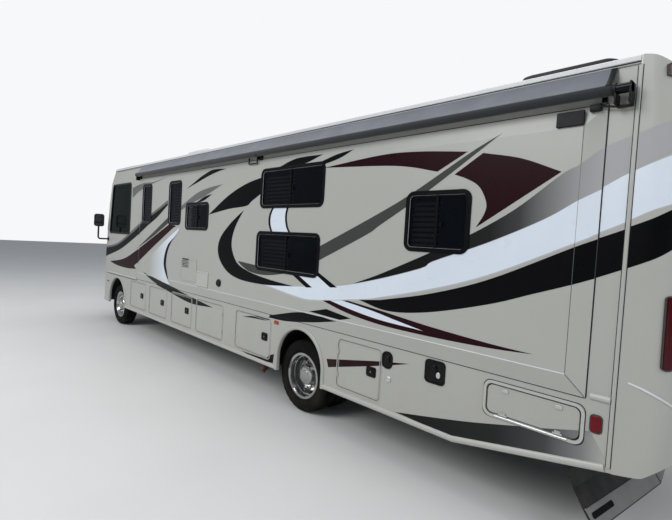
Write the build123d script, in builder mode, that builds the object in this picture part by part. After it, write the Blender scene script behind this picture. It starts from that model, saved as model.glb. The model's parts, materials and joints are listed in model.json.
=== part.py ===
from build123d import *

import math
import os

# Class A motorhome with a full-wall slide-out room.
# Millimetres, +X forward, +Y left, +Z up, origin on the floor under the middle of the length.
os.makedirs("parts", exist_ok=True)

# Running gear places
wheelbase = 6085.0
front_overhang = 1050.0
rear_overhang = 3635.0
overall_length = wheelbase + front_overhang + rear_overhang
rear_axle_x = rear_overhang - overall_length / 2
front_axle_x = rear_axle_x + wheelbase
nose_x = front_axle_x + front_overhang
tail_x = rear_axle_x - rear_overhang

# Body shell heights and widths
body_half = 1282.5
skirt_bottom = 413.0
rear_skirt_rise = 211.0
rear_rise_start = 2075.0
belt = 1064.0
wall_top = 3215.0
roof_step = 60.0
roof_edge = wall_top + roof_step
crown_rise = 105.0
roof_crown = roof_edge + crown_rise
roof_thick = 60.0
wall_thick = 50.0
skirt_thick = 30.0
cap_thick = 30.0
floor_top = belt + 36.0
floor_thick = 60.0
seam_gap = 0.3
cut = 1.0
crown_over = 20.0

# Front moulding: height, seam set back, face set back, corner radius
bumper_top = 690.0
nose_rows = [
    (skirt_bottom, 350.0, 30.0, 200.0),
    (bumper_top + 10.0, 350.0, 0.0, 220.0),
    (belt + 436.0, 350.0, 5.0, 220.0),
    (wall_top - 715.0, 390.0, 170.0, 150.0),
    (wall_top - 225.0, 510.0, 310.0, 130.0),
    (wall_top, 750.0, 500.0, 130.0),
    (roof_crown + crown_over, 880.0, 700.0, 110.0),
]
nose_bow = 50.0

# Rear moulding: height, face set back, corner radius
rear_cap_depth = 345.0
ladder_reach = 70.0
tail_rows = [
    (skirt_bottom + rear_skirt_rise, 30.0, 200.0),
    (belt - 64.0, 0.0, 220.0),
    (wall_top - 315.0, 20.0, 220.0),
    (wall_top, 60.0, 200.0),
    (roof_crown + crown_over, 150.0, 150.0),
]
tail_bow = 40.0
cap_tail_x = tail_x + ladder_reach
rear_seam_x = cap_tail_x + rear_cap_depth
# the roof's fall over the rear moulding: run back from its seam, drop
tail_drop_rows = [
    (-cut, 0.0),
    (10.0, 0.0),
    (45.0, 9.0),
    (70.0, 19.0),
    (95.0, 34.0),
    (120.0, 54.0),
    (145.0, 76.0),
    (190.0, 84.0),
    (rear_cap_depth + ladder_reach + cut, 88.0),
]

# Wheels
tyre_radius = 419.0
tyre_width = 245.0
rim_radius = 255.0
rim_lip = 12.0
rim_lip_wide = 8.0
rim_wall = 16.0
wheel_face_half = 93.0
front_tyre_y = body_half - 180.0
dual_outer_y = body_half - 210.0
dual_spacing = 280.0
spindle_radius = 40.0
running_gap = 0.1
kingpin_y = front_tyre_y - 177.5
kingpin_radius = 22.0
arm_length = 190.0

# Tyre section: shoulder, widest place and bead
shoulder_in = 10.0
shoulder_drop = 24.0
widest_drop = 89.0
bead_in = 12.0
bead_step = 8.0
bead_radius = rim_radius + 17.0
tread_in = 35.0
tread_crown = 4.0

# Wheel disc and hub
disc_out = 20.0
disc_dish = 10.0
disc_thick = 20.0
disc_edge_radius = 190.0
disc_root_radius = 110.0
hub_radius = 100.0
hub_inward = 40.0
hub_reach = 100.0
hub_step = 60.0
dual_disc_out = 90.0
band_wall = 6.0

# Arches: half width, top, and the liners behind them
rear_arch_half = 397.0
rear_arch_behind = 40.0
rear_arch_top = 974.0
front_arch_half = 470.0
front_arch_top = 980.0
liner_thick = 8.0
liner_top = 1000.0
front_liner_half = 550.0
rear_liner_half = 470.0
liner_inner_y = body_half - 707.5

# Chassis
rail_y = body_half - 852.5
rail_width = 80.0
rail_low = 620.0
rail_high = 860.0

# Slide-out room
slide_front_back = 1100.0
slide_rear_ahead = 173.0
slide_low = belt + 2.0
slide_high = wall_top - 218.0
slide_proud = 30.0
slide_wall_gap = 2.0
slide_bevel_wide = 130.0
slide_bevel_deep = 24.0
slide_lap = 70.0
slide_depth = 760.0
slide_shell = 40.0
slide_clear = 12.0
slide_front_x = front_axle_x - slide_front_back
slide_rear_x = rear_seam_x + slide_rear_ahead

# Windows in the slide-out: distance behind its front edge, width, head below its top edge, height
slide_windows = [
    (218.0, 400.0, 148.0, 694.0),
    (1398.0, 442.0, 153.0, 694.0),
    (2059.0, 717.0, 531.0, 385.0),
    (4156.0, 1166.0, 154.0, 451.0),
    (4118.0, 1180.0, 933.0, 449.0),
    (6482.0, 608.0, 530.0, 485.0),
]
window_corner = 60.0

# Cab side windows: rear, front at the sill and front at the head, all ahead of the front axle
cab_window_rear = -579.0
cab_window_sill_front = 620.0
cab_window_head_front = 480.0
cab_window_head = wall_top - 276.0
cab_window_sill = cab_window_head - 1008.0

# Windows in the right wall: distance behind the front axle, width, head below the wall's top, height
right_windows = [
    (1150.0, 850.0, 465.0, 760.0),
    (3700.0, 760.0, 645.0, 520.0),
    (5300.0, 900.0, 605.0, 560.0),
    (7600.0, 700.0, 705.0, 520.0),
]

frame_lip = 22.0
frame_proud = 8.0
frame_sleeve = 15.0
sleeve_over = 20.0
frame_corner_step = 20.0
pane_thick = 6.0
pane_inset = 10.0

# Baggage doors: name, front edge, width, hinged at its front edge
# the first four are measured back from the front axle, the rest back from the rear axle
left_doors_front = [
    ("left_bag_door_1", 790.0, 759.0, True),
    ("left_bag_door_2", 1741.0, 740.0, True),
    ("left_bag_door_3", 2692.0, 730.0, True),
    ("left_bag_door_4", 3595.0, 797.0, False),
]
left_doors_rear = [
    ("left_bag_door_5", -1333.0, 802.0, True),
    ("left_bag_door_6", 687.0, 577.0, True),
]
right_doors_front = [
    ("right_bag_door_1", 790.0, 759.0, True),
    ("right_bag_door_2", 3700.0, 900.0, True),
]
right_doors_rear = [
    ("right_bag_door_3", 687.0, 900.0, True),
]
door_low = skirt_bottom + 101.0
door_high = belt - 69.0
door_corner = 40.0
door_gap = 6.0
hatch_front = 2361.0
hatch_width = 662.0
hatch_high = belt - 84.0
hatch_low = hatch_high - 212.0

# Hinges
hinge_stand = 7.5
hinge_barrel = 7.0
hinge_pin = 4.0
hinge_clear = 0.1
hinge_long = 40.0
hinge_lug = 12.0
hinge_leaf = 20.0
hinge_end = 1.0

# Entry door and its steps, measured behind the front axle
entry_front = 2150.0
entry_width = 700.0
entry_low = skirt_bottom + 147.0
entry_high = wall_top - 655.0
well_deep = 560.0
tread_count = 3
tread_start = 20.0
tread_end = 20.0
step_rail_low = skirt_bottom + 79.0
step_slot_under = 6.0
step_slot_side = 25.0
step_board_side = 46.0
step_skid_side = 41.0
step_face_side = 36.0
step_board_rise = 14.0
step_board_thick = 34.0
step_skid_high = 24.0
step_face_tall = 53.0
step_long = 280.0
step_skid_start = 60.0
rail_in = 20.0
rail_wide = 20.0
rail_lip = 8.0
rail_lip_wide = 45.0
rail_long = 330.0


def doors_of(near_front, near_rear):
    """The rows of one side as name, rear edge, front edge and whether the hinge is at the front."""
    rows = []
    for name, back, wide, at_front in near_front:
        rows.append((name, front_axle_x - back - wide, front_axle_x - back, at_front))
    for name, back, wide, at_front in near_rear:
        rows.append((name, rear_axle_x - back - wide, rear_axle_x - back, at_front))
    return rows


left_doors = doors_of(left_doors_front, left_doors_rear)
right_doors = doors_of(right_doors_front, right_doors_rear)
hatch_front_x = rear_axle_x - hatch_front
hatch_rear_x = hatch_front_x - hatch_width
entry_front_x = front_axle_x - entry_front
entry_rear_x = entry_front_x - entry_width


def side_plane(y):
    """A plane that looks along the width: local x is forward, local y is up."""
    return Plane.XZ.offset(-y)


def box_between(low, high):
    """A box by two opposite corners."""
    size = [b - a for a, b in zip(low, high)]
    middle = [(a + b) / 2 for a, b in zip(low, high)]
    with BuildPart() as block:
        with Locations(tuple(middle)):
            Box(*size)
    return block.part


def crown_block(x_low, x_high, inset, z_low):
    """Everything under the roof's crown, drawn in by inset."""
    half = body_half - inset
    with BuildPart() as block:
        with BuildSketch(Plane.YZ.offset(x_low)):
            with BuildLine():
                Polyline((half, roof_edge - inset), (half, z_low), (-half, z_low), (-half, roof_edge - inset))
                ThreePointArc((-half, roof_edge - inset), (0, roof_crown - inset), (half, roof_edge - inset))
            make_face()
        extrude(amount=x_high - x_low)
    return block.part


def tail_crown_block(inset, z_low):
    """Everything under the roof where it falls over the rear moulding, drawn in by inset."""
    half = body_half - inset
    with BuildPart() as block:
        for run, drop in tail_drop_rows:
            edge_z = roof_edge - inset - drop
            crown_z = roof_crown - inset - drop
            with BuildSketch(Plane.YZ.offset(rear_seam_x - run)):
                with BuildLine():
                    Polyline((half, edge_z), (half, z_low), (-half, z_low), (-half, edge_z))
                    ThreePointArc((-half, edge_z), (0, crown_z), (half, edge_z))
                make_face()
        loft(ruled=True)
    return block.part


def nose_block(inset, low, high):
    """The front moulding's outline, drawn in by inset, between two heights."""
    half = body_half - inset
    with BuildPart() as block:
        for height, seam, face, corner in nose_rows:
            face_x = nose_x - face - inset
            edge_x = face_x - nose_bow
            with BuildSketch(Plane.XY.offset(height)) as section:
                with BuildLine():
                    Polyline((edge_x, half), (nose_x - seam, half), (nose_x - seam, -half), (edge_x, -half))
                    ThreePointArc((edge_x, -half), (face_x, 0), (edge_x, half))
                make_face()
                fillet(section.vertices().sort_by(Axis.X)[-2:], corner - inset)
        loft(ruled=True)
        add(box_between((0, -body_half, low), (nose_x, body_half, high)), mode=Mode.INTERSECT)
        add(crown_block(0, nose_x, inset, low - cut), mode=Mode.INTERSECT)
    return block.part


def tail_block(inset, low, high):
    """The rear moulding's outline, drawn in by inset, between two heights."""
    half = body_half - inset
    with BuildPart() as block:
        for height, face, corner in tail_rows:
            face_x = cap_tail_x + face + inset
            edge_x = face_x + tail_bow
            with BuildSketch(Plane.XY.offset(height)) as section:
                with BuildLine():
                    Polyline((edge_x, half), (rear_seam_x, half), (rear_seam_x, -half), (edge_x, -half))
                    ThreePointArc((edge_x, -half), (face_x, 0), (edge_x, half))
                make_face()
                fillet(section.vertices().sort_by(Axis.X)[:2], corner - inset)
        loft(ruled=True)
        add(box_between((tail_x, -body_half, low), (0, body_half, high)), mode=Mode.INTERSECT)
        add(tail_crown_block(inset, low - cut), mode=Mode.INTERSECT)
    return block.part


def rounded_panel(y, rear_x, front_x, low, high, corner, depth, front_top=None):
    """A panel with round corners, its face at y and its depth along the sketch's normal."""
    top_x = front_x if front_top is None else front_top
    with BuildPart() as panel:
        with BuildSketch(side_plane(y)) as outline:
            with BuildLine():
                Polyline((rear_x, low), (front_x, low), (top_x, high), (rear_x, high), close=True)
            make_face()
            fillet(outline.vertices(), corner)
        extrude(amount=depth)
    return panel.part


def arch_block(axle_x, half, top, y_low, y_high):
    """A wheel arch's space: straight legs under a half round."""
    with BuildPart() as block:
        with BuildSketch(side_plane(y_high)):
            with BuildLine():
                Polyline((axle_x + half, top - half), (axle_x + half, 0), (axle_x - half, 0),
                         (axle_x - half, top - half))
                ThreePointArc((axle_x - half, top - half), (axle_x, top), (axle_x + half, top - half))
            make_face()
        extrude(amount=y_high - y_low)
    return block.part


def nose_seam_line(low, high):
    """The wall's front edge from one height up to another, as points."""
    points = []
    previous = None
    for height, seam, face, corner in nose_rows:
        here = (nose_x - seam - seam_gap, height)
        if previous is not None:
            for limit in (low, high):
                if previous[1] < limit < here[1]:
                    share = (limit - previous[1]) / (here[1] - previous[1])
                    points.append((previous[0] + share * (here[0] - previous[0]), limit))
        if low <= height <= high:
            points.append(here)
        previous = here
    return points


def hinge_fixed(place):
    """Pin and two lugs on the fixed panel. Local z is the axis, local x points away from the lid."""
    with BuildPart() as fixed:
        with BuildSketch(place.offset(-hinge_long / 2 - hinge_lug)):
            Circle(hinge_pin)
        extrude(amount=hinge_long + 2 * hinge_lug)
        for start in (-hinge_long / 2 - hinge_lug, hinge_long / 2 + hinge_end):
            with BuildSketch(place.offset(start)):
                Circle(hinge_barrel)
                with Locations((hinge_leaf / 2, -hinge_stand / 2)):
                    Rectangle(hinge_leaf, hinge_stand + 2 * cut)
            extrude(amount=hinge_lug - hinge_end)
    return fixed.part


def hinge_moving(place):
    """Barrel and leaf on the lid."""
    with BuildPart() as moving:
        with BuildSketch(place.offset(-hinge_long / 2)):
            Circle(hinge_barrel)
            with Locations((-hinge_leaf / 2, -hinge_stand / 2)):
                Rectangle(hinge_leaf, hinge_stand + 2 * cut)
            Circle(hinge_pin + hinge_clear, mode=Mode.SUBTRACT)
        extrude(amount=hinge_long)
    return moving.part


def door_hinges(side, edge_x, at_front, heights):
    """The two hinge places of a side door, at one edge of it."""
    away = 1 if at_front else -1
    places = []
    for height in heights:
        origin = (edge_x, side * (body_half + hinge_stand), height)
        places.append(Plane(origin=origin, x_dir=(away, 0, 0), z_dir=(0, 0, side * away)))
    return places


def bag_door_hinges(side, row):
    """The hinge places of one baggage door."""
    name, rear_x, front_x, at_front = row
    edge_x = front_x if at_front else rear_x
    reach = (door_high - door_low) / 4
    return door_hinges(side, edge_x, at_front, (door_low + reach, door_high - reach))


def entry_hinges():
    """The hinge places of the entry door."""
    reach = (entry_high - entry_low) / 6
    return door_hinges(-1, entry_front_x, True, (entry_low + reach, entry_high - reach))


def hatch_hinges():
    """The hinge places of the low hatch, along its bottom edge."""
    places = []
    for share in (0.2, 0.8):
        origin = (hatch_rear_x + share * hatch_width, body_half + hinge_stand, hatch_low)
        places.append(Plane(origin=origin, x_dir=(0, 0, -1), z_dir=(1, 0, 0)))
    return places


# Wall panels above the belt
def wall_panel(side):
    """One side wall, without its openings."""
    front_line = nose_seam_line(belt, wall_top)
    with BuildPart() as wall:
        with BuildSketch(side_plane(side * body_half)):
            with BuildLine():
                Polyline((rear_seam_x + seam_gap, belt), *front_line,
                         (rear_seam_x + seam_gap, wall_top), close=True)
            make_face()
        extrude(amount=side * wall_thick)
    return wall.part


def cab_window_hole(side, shrink):
    """The cab side window's hole, drawn in by shrink."""
    return rounded_panel(side * (body_half + cut), front_axle_x + cab_window_rear + shrink,
                         front_axle_x + cab_window_sill_front - shrink, cab_window_sill + shrink,
                         cab_window_head - shrink, window_corner, side * (wall_thick + 2 * cut),
                         front_axle_x + cab_window_head_front - shrink)


slide_hole_low = slide_low + slide_lap
slide_hole_high = slide_high - slide_lap
slide_hole_rear = slide_rear_x + slide_lap
slide_hole_front = slide_front_x - slide_lap

with BuildPart() as left_wall:
    add(wall_panel(1))
    add(box_between((slide_hole_rear, 0, slide_hole_low), (slide_hole_front, body_half + cut, slide_hole_high)),
        mode=Mode.SUBTRACT)
    add(cab_window_hole(1, 0), mode=Mode.SUBTRACT)
left_wall.part.label = "left_wall"
export_step(left_wall.part, "parts/left_wall.step")

with BuildPart() as right_wall:
    add(wall_panel(-1))
    add(cab_window_hole(-1, 0), mode=Mode.SUBTRACT)
    for back, wide, drop, tall in right_windows:
        front_x = front_axle_x - back
        head = wall_top - drop
        add(rounded_panel(-body_half - cut, front_x - wide, front_x, head - tall, head, window_corner,
                          -wall_thick - 2 * cut), mode=Mode.SUBTRACT)
    add(rounded_panel(-body_half - cut, entry_rear_x - door_gap, entry_front_x + door_gap, entry_low - door_gap,
                      entry_high + door_gap, door_corner, -wall_thick - 2 * cut), mode=Mode.SUBTRACT)
    for place in entry_hinges()[1:]:
        add(hinge_fixed(place))
right_wall.part.label = "right_wall"
export_step(right_wall.part, "parts/right_wall.step")


# Skirts below the belt
def skirt_panel(side, doors):
    """One side skirt with its arches and baggage door openings."""
    front_line = nose_seam_line(skirt_bottom, belt - seam_gap)
    rise_x = rear_axle_x - rear_rise_start
    with BuildPart() as skirt:
        with BuildSketch(side_plane(side * body_half)):
            with BuildLine():
                Polyline((rear_seam_x + seam_gap, skirt_bottom + rear_skirt_rise), (rise_x, skirt_bottom),
                         *front_line, (rear_seam_x + seam_gap, belt - seam_gap), close=True)
            make_face()
        extrude(amount=side * skirt_thick)
        reach = body_half + cut
        y_low = -reach if side < 0 else 0
        add(arch_block(rear_axle_x - rear_arch_behind, rear_arch_half, rear_arch_top, y_low, y_low + reach),
            mode=Mode.SUBTRACT)
        add(arch_block(front_axle_x, front_arch_half, front_arch_top, y_low, y_low + reach),
            mode=Mode.SUBTRACT)
        for row in doors:
            name, rear_x, front_x, at_front = row
            add(rounded_panel(side * reach, rear_x - door_gap, front_x + door_gap, door_low - door_gap,
                              door_high + door_gap, door_corner + door_gap, side * (skirt_thick + 2 * cut)),
                mode=Mode.SUBTRACT)
            for place in bag_door_hinges(side, row):
                add(hinge_fixed(place))
        # joint between the rear and the front length, over the rear arch
        joint_x = rear_axle_x - rear_arch_behind
        add(box_between((joint_x - seam_gap / 2, y_low, rear_arch_top - cut),
                        (joint_x + seam_gap / 2, y_low + reach, belt)), mode=Mode.SUBTRACT)
    return skirt.part


with BuildPart() as left_skirt:
    add(skirt_panel(1, left_doors))
    add(rounded_panel(body_half + cut, hatch_rear_x - door_gap, hatch_front_x + door_gap, hatch_low - door_gap,
                      hatch_high + door_gap, door_corner + door_gap, skirt_thick + 2 * cut), mode=Mode.SUBTRACT)
    for place in hatch_hinges():
        add(hinge_fixed(place))
left_skirt.part.label = "left_skirt"
export_step(left_skirt.part, "parts/left_skirt.step")

with BuildPart() as right_skirt:
    add(skirt_panel(-1, right_doors))
    add(rounded_panel(-body_half - cut, entry_rear_x - door_gap, entry_front_x + door_gap, entry_low - door_gap,
                      entry_high + door_gap, door_corner, -skirt_thick - 2 * cut), mode=Mode.SUBTRACT)
    # slot for the sliding step
    add(box_between((entry_rear_x + step_slot_side, -body_half - cut, step_rail_low - step_slot_under),
                    (entry_front_x - step_slot_side, -body_half + skirt_thick + cut, entry_low)),
        mode=Mode.SUBTRACT)
    for place in entry_hinges()[:1]:
        add(hinge_fixed(place))
right_skirt.part.label = "right_skirt"
export_step(right_skirt.part, "parts/right_skirt.step")


# Baggage doors
def bag_door(side, row):
    """One baggage door with its barrels."""
    name, rear_x, front_x, at_front = row
    with BuildPart() as door:
        add(rounded_panel(side * body_half, rear_x, front_x, door_low, door_high, door_corner,
                          side * skirt_thick))
        for place in bag_door_hinges(side, row):
            add(hinge_moving(place))
    return door.part


for side, rows in ((1, left_doors), (-1, right_doors)):
    for row in rows:
        panel = bag_door(side, row)
        panel.label = row[0]
        export_step(panel, "parts/" + row[0] + ".step")

with BuildPart() as left_hatch:
    add(rounded_panel(body_half, hatch_rear_x, hatch_front_x, hatch_low, hatch_high, door_corner, skirt_thick))
    for place in hatch_hinges():
        add(hinge_moving(place))
left_hatch.part.label = "left_hatch"
export_step(left_hatch.part, "parts/left_hatch.step")

# Entry door with its window
entry_window_sill = entry_low + 1150.0
entry_window_head = entry_high - 160.0
entry_window_rear = entry_rear_x + 150.0
entry_window_front = entry_front_x - 150.0
with BuildPart() as entry_door:
    add(rounded_panel(-body_half, entry_rear_x, entry_front_x, entry_low, entry_high, door_corner,
                      -skirt_thick))
    add(rounded_panel(-body_half - cut, entry_window_rear, entry_window_front, entry_window_sill,
                      entry_window_head, door_corner, -skirt_thick - 2 * cut), mode=Mode.SUBTRACT)
    for place in entry_hinges():
        add(hinge_moving(place))
entry_door.part.label = "entry_door"
export_step(entry_door.part, "parts/entry_door.step")

with BuildPart() as entry_door_pane:
    add(rounded_panel(-body_half + pane_inset, entry_window_rear + seam_gap, entry_window_front - seam_gap,
                      entry_window_sill + seam_gap, entry_window_head - seam_gap, door_corner, -pane_thick))
entry_door_pane.part.label = "entry_door_pane"
export_step(entry_door_pane.part, "parts/entry_door_pane.step")

# Roof, floor and the two end mouldings
roof_front_x = nose_x - nose_rows[-2][1]
with BuildPart() as roof:
    add(crown_block(rear_seam_x + seam_gap, roof_front_x - seam_gap, 0, wall_top + seam_gap))
    add(crown_block(rear_seam_x - cut, roof_front_x + cut, roof_thick, wall_top - cut), mode=Mode.SUBTRACT)
    add(nose_block(-seam_gap, wall_top, roof_crown + crown_over / 2), mode=Mode.SUBTRACT)
roof.part.label = "roof"
export_step(roof.part, "parts/roof.step")

windscreen_low = belt + 556.0
windscreen_high = wall_top - 255.0
windscreen_half = body_half - 152.5
windscreen_corner = 110.0
windscreen_inset = 8.0
windscreen_run = 700.0


def windscreen_block(shrink):
    """The windscreen's outline run through the nose, drawn in by shrink."""
    with BuildPart() as block:
        with BuildSketch(Plane.YZ.offset(nose_x - windscreen_run)):
            with Locations((0, (windscreen_low + windscreen_high) / 2)):
                RectangleRounded(2 * (windscreen_half - shrink), windscreen_high - windscreen_low - 2 * shrink,
                                 windscreen_corner)
        extrude(amount=windscreen_run + cut)
    return block.part


with BuildPart() as front_cap:
    add(nose_block(0, bumper_top + seam_gap, roof_crown + crown_over / 2))
    add(nose_block(cap_thick, bumper_top - cut, wall_top), mode=Mode.SUBTRACT)
    add(windscreen_block(0), mode=Mode.SUBTRACT)
front_cap.part.label = "front_cap"
export_step(front_cap.part, "parts/front_cap.step")

with BuildPart() as windscreen:
    add(nose_block(windscreen_inset, bumper_top, wall_top))
    add(nose_block(windscreen_inset + pane_thick, bumper_top - cut, wall_top + cut), mode=Mode.SUBTRACT)
    add(windscreen_block(seam_gap), mode=Mode.INTERSECT)
windscreen.part.label = "windscreen"
export_step(windscreen.part, "parts/windscreen.step")

with BuildPart() as front_bumper:
    add(nose_block(0, skirt_bottom, bumper_top))
    add(nose_block(cap_thick, skirt_bottom - cut, bumper_top + cut), mode=Mode.SUBTRACT)
front_bumper.part.label = "front_bumper"
export_step(front_bumper.part, "parts/front_bumper.step")

tail_low = skirt_bottom + rear_skirt_rise
# the lower edge of the rear moulding, run back and rise from its seam
tail_rise_start = 20.0
tail_rise_rows = [(170.0, 28.0), (rear_cap_depth, 165.0)]
with BuildPart() as rear_cap:
    add(tail_block(0, tail_low, roof_crown + crown_over / 2))
    add(tail_block(cap_thick, tail_low - cut, wall_top), mode=Mode.SUBTRACT)
    with BuildSketch(side_plane(body_half)):
        with BuildLine():
            Polyline((rear_seam_x - tail_rise_start, tail_low),
                     *[(rear_seam_x - run, tail_low + rise) for run, rise in tail_rise_rows],
                     (tail_x, tail_low + tail_rise_rows[-1][1]), (tail_x, tail_low - cut),
                     (rear_seam_x - tail_rise_start, tail_low - cut), close=True)
        make_face()
    extrude(amount=2 * body_half, mode=Mode.SUBTRACT)
rear_cap.part.label = "rear_cap"
export_step(rear_cap.part, "parts/rear_cap.step")

inner_half = body_half - wall_thick
bar_count = 4
bar_half = 60.0
with BuildPart() as floor:
    add(box_between((rear_seam_x, -inner_half + seam_gap, floor_top - floor_thick),
                    (nose_x - nose_rows[0][1], inner_half - seam_gap, floor_top)))
    add(box_between((entry_rear_x, -body_half, floor_top - floor_thick - cut),
                    (entry_front_x, -body_half + well_deep, floor_top + cut)), mode=Mode.SUBTRACT)
    # wear bars that the slide-out's floor runs on
    bar_high = slide_hole_low + slide_clear - seam_gap
    for index in range(bar_count):
        bar_x = slide_hole_rear + (index + 0.5) * (slide_hole_front - slide_hole_rear) / bar_count
        add(box_between((bar_x - bar_half, inner_half - slide_depth, floor_top - cut),
                        (bar_x + bar_half, inner_half - cut, bar_high)))
floor.part.label = "floor"
export_step(floor.part, "parts/floor.step")

# Slide-out room
slide_face_y = body_half + slide_wall_gap + slide_proud


def slide_window_part(row, shrink, y, depth):
    """One slide-out window's outline as a block."""
    back, wide, drop, tall = row
    front_x = slide_front_x - back
    head = slide_high - drop
    return rounded_panel(y, front_x - wide + shrink, front_x - shrink, head - tall + shrink, head - shrink,
                         window_corner - min(shrink, frame_corner_step), depth)


with BuildPart() as slide_wall:
    add(box_between((slide_rear_x, body_half + slide_wall_gap, slide_low),
                    (slide_front_x, slide_face_y, slide_high)))
    outer_face = slide_wall.faces().sort_by(Axis.Y)[-1]
    chamfer(outer_face.edges(), slide_bevel_wide, slide_bevel_deep, reference=outer_face)
    for row in slide_windows:
        add(slide_window_part(row, 0, slide_face_y + cut, slide_proud + 2 * cut), mode=Mode.SUBTRACT)
slide_wall.part.label = "slide_wall"
export_step(slide_wall.part, "parts/slide_wall.step")

with BuildPart() as slide_box:
    box_y = body_half + slide_wall_gap - seam_gap
    add(box_between((slide_hole_rear + slide_clear, box_y - slide_depth, slide_hole_low + slide_clear),
                    (slide_hole_front - slide_clear, box_y, slide_hole_high - slide_clear)))
    room_in = slide_clear + slide_shell
    add(box_between((slide_hole_rear + room_in, 0, slide_hole_low + room_in),
                    (slide_hole_front - room_in, slide_face_y, slide_hole_high - room_in)), mode=Mode.SUBTRACT)
slide_box.part.label = "slide_box"
export_step(slide_box.part, "parts/slide_box.step")


# Windows
def window_frame(outline, y, side, depth):
    """A black frame: lip outside the panel and a sleeve through it."""
    with BuildPart() as ring:
        add(outline(-frame_lip, y + side * frame_proud, side * (frame_proud - seam_gap)))
        add(outline(seam_gap, y + side, side * (depth + cut)))
        add(outline(frame_sleeve, y + side * sleeve_over, side * (depth + 3 * sleeve_over)), mode=Mode.SUBTRACT)
    return ring.part


def window_pane(outline, y, side):
    """The glass inside a frame."""
    return outline(frame_sleeve + seam_gap, y - side * pane_inset, side * pane_thick)


def slide_outline(row):
    """An outline maker for a slide-out window."""
    def outline(shrink, y, depth):
        return slide_window_part(row, shrink, y, depth)
    return outline


def wall_outline(rear_x, front_x, low, high, corner, front_top=None):
    """An outline maker for a window in a side wall."""
    def outline(shrink, y, depth):
        top_x = None if front_top is None else front_top - shrink
        return rounded_panel(y, rear_x + shrink, front_x - shrink, low + shrink, high - shrink,
                             corner - min(shrink, frame_corner_step), depth, top_x)
    return outline


wall_window_rows = []
for side in (1, -1):
    cab_outline = wall_outline(front_axle_x + cab_window_rear, front_axle_x + cab_window_sill_front,
                               cab_window_sill, cab_window_head, window_corner,
                               front_axle_x + cab_window_head_front)
    wall_window_rows.append((side, cab_outline))
for back, wide, drop, tall in right_windows:
    right_front_x = front_axle_x - back
    head = wall_top - drop
    right_outline = wall_outline(right_front_x - wide, right_front_x, head - tall, head, window_corner)
    wall_window_rows.append((-1, right_outline))

with BuildPart() as wall_window_frames:
    for side, outline in wall_window_rows:
        add(window_frame(outline, side * body_half, side, wall_thick))
wall_window_frames.part.label = "wall_window_frames"
export_step(wall_window_frames.part, "parts/wall_window_frames.step")

with BuildPart() as wall_window_panes:
    for side, outline in wall_window_rows:
        add(window_pane(outline, side * body_half, side))
wall_window_panes.part.label = "wall_window_panes"
export_step(wall_window_panes.part, "parts/wall_window_panes.step")

with BuildPart() as slide_window_frames:
    for row in slide_windows:
        add(window_frame(slide_outline(row), slide_face_y, 1, slide_proud))
slide_window_frames.part.label = "slide_window_frames"
export_step(slide_window_frames.part, "parts/slide_window_frames.step")

with BuildPart() as slide_window_panes:
    for row in slide_windows:
        add(window_pane(slide_outline(row), slide_face_y, 1))
slide_window_panes.part.label = "slide_window_panes"
export_step(slide_window_panes.part, "parts/slide_window_panes.step")

# Slide topper: a fabric strip from the roof rail down to a roller on the slide-out
roller_radius = 32.0
roller_y = slide_face_y + 50.0
roller_z = slide_high + 62.0
roller_rear = slide_rear_x - 150.0
roller_front = slide_front_x + 20.0
fabric_rear = slide_rear_x - 40.0
rail_z = roof_edge - 45.0
fabric_thick = 3.0
fabric_clear = 1.5
fabric_side = 40.0
arm_half = 15.0
arm_thick = 20.0
arm_side = 20.0
arm_back_y = slide_face_y - slide_proud + 2.0
with BuildPart() as topper_roller:
    with BuildSketch(Plane.YZ.offset(roller_rear)):
        with Locations((roller_y, roller_z)):
            Circle(roller_radius)
    extrude(amount=roller_front - roller_rear)
    for arm_x in (slide_rear_x + arm_side, (slide_rear_x + slide_front_x) / 2, slide_front_x - arm_side):
        add(box_between((arm_x - arm_half, arm_back_y, slide_high + seam_gap),
                        (arm_x + arm_half, arm_back_y + arm_thick, roller_z)))
        add(box_between((arm_x - arm_half, arm_back_y, roller_z - arm_thick / 2),
                        (arm_x + arm_half, roller_y, roller_z + arm_thick / 2)))
topper_roller.part.label = "topper_roller"
export_step(topper_roller.part, "parts/topper_roller.step")

fabric_low = (roller_y + 6.0, roller_z + roller_radius + fabric_clear)
with BuildPart() as topper_fabric:
    with BuildSketch(Plane.YZ.offset(fabric_rear)):
        with BuildLine():
            Polyline((body_half + seam_gap, rail_z), (body_half + seam_gap, rail_z - fabric_thick),
                     (fabric_low[0], fabric_low[1]), (fabric_low[0], fabric_low[1] + fabric_thick), close=True)
        make_face()
    extrude(amount=roller_front - fabric_side - fabric_rear)
topper_fabric.part.label = "topper_fabric"
export_step(topper_fabric.part, "parts/topper_fabric.step")

# Wheels
def ring_turn(centre_x, points):
    """A round piece about an axle's line, from points of across and radius."""
    with BuildPart() as turned:
        with BuildSketch(Plane.YZ.offset(centre_x)):
            with BuildLine():
                Polyline(*[(across, tyre_radius + radius) for across, radius in points], close=True)
            make_face()
        revolve(axis=Axis((centre_x, 0, tyre_radius), (0, 1, 0)))
    return turned.part


def tyre_solid(centre_x, centre_y):
    """One tyre about the axle's line."""
    half = tyre_width / 2
    flank = [
        (half - tread_in, tyre_radius - tread_crown),
        (half - shoulder_in, tyre_radius - shoulder_drop),
        (half, tyre_radius - widest_drop),
        (half - bead_in, bead_radius + bead_step),
        (wheel_face_half, bead_radius),
        (wheel_face_half, rim_radius),
    ]
    outer = [(centre_y + across, radius) for across, radius in flank]
    inner = [(centre_y - across, radius) for across, radius in reversed(flank)]
    return ring_turn(centre_x, [(centre_y, tyre_radius)] + outer + inner)


face_half = wheel_face_half + seam_gap
face_lip = face_half + rim_lip_wide
barrel_radius = rim_radius - seam_gap
well_radius = barrel_radius - rim_wall
lip_radius = rim_radius + rim_lip
bore_radius = spindle_radius + running_gap


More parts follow.
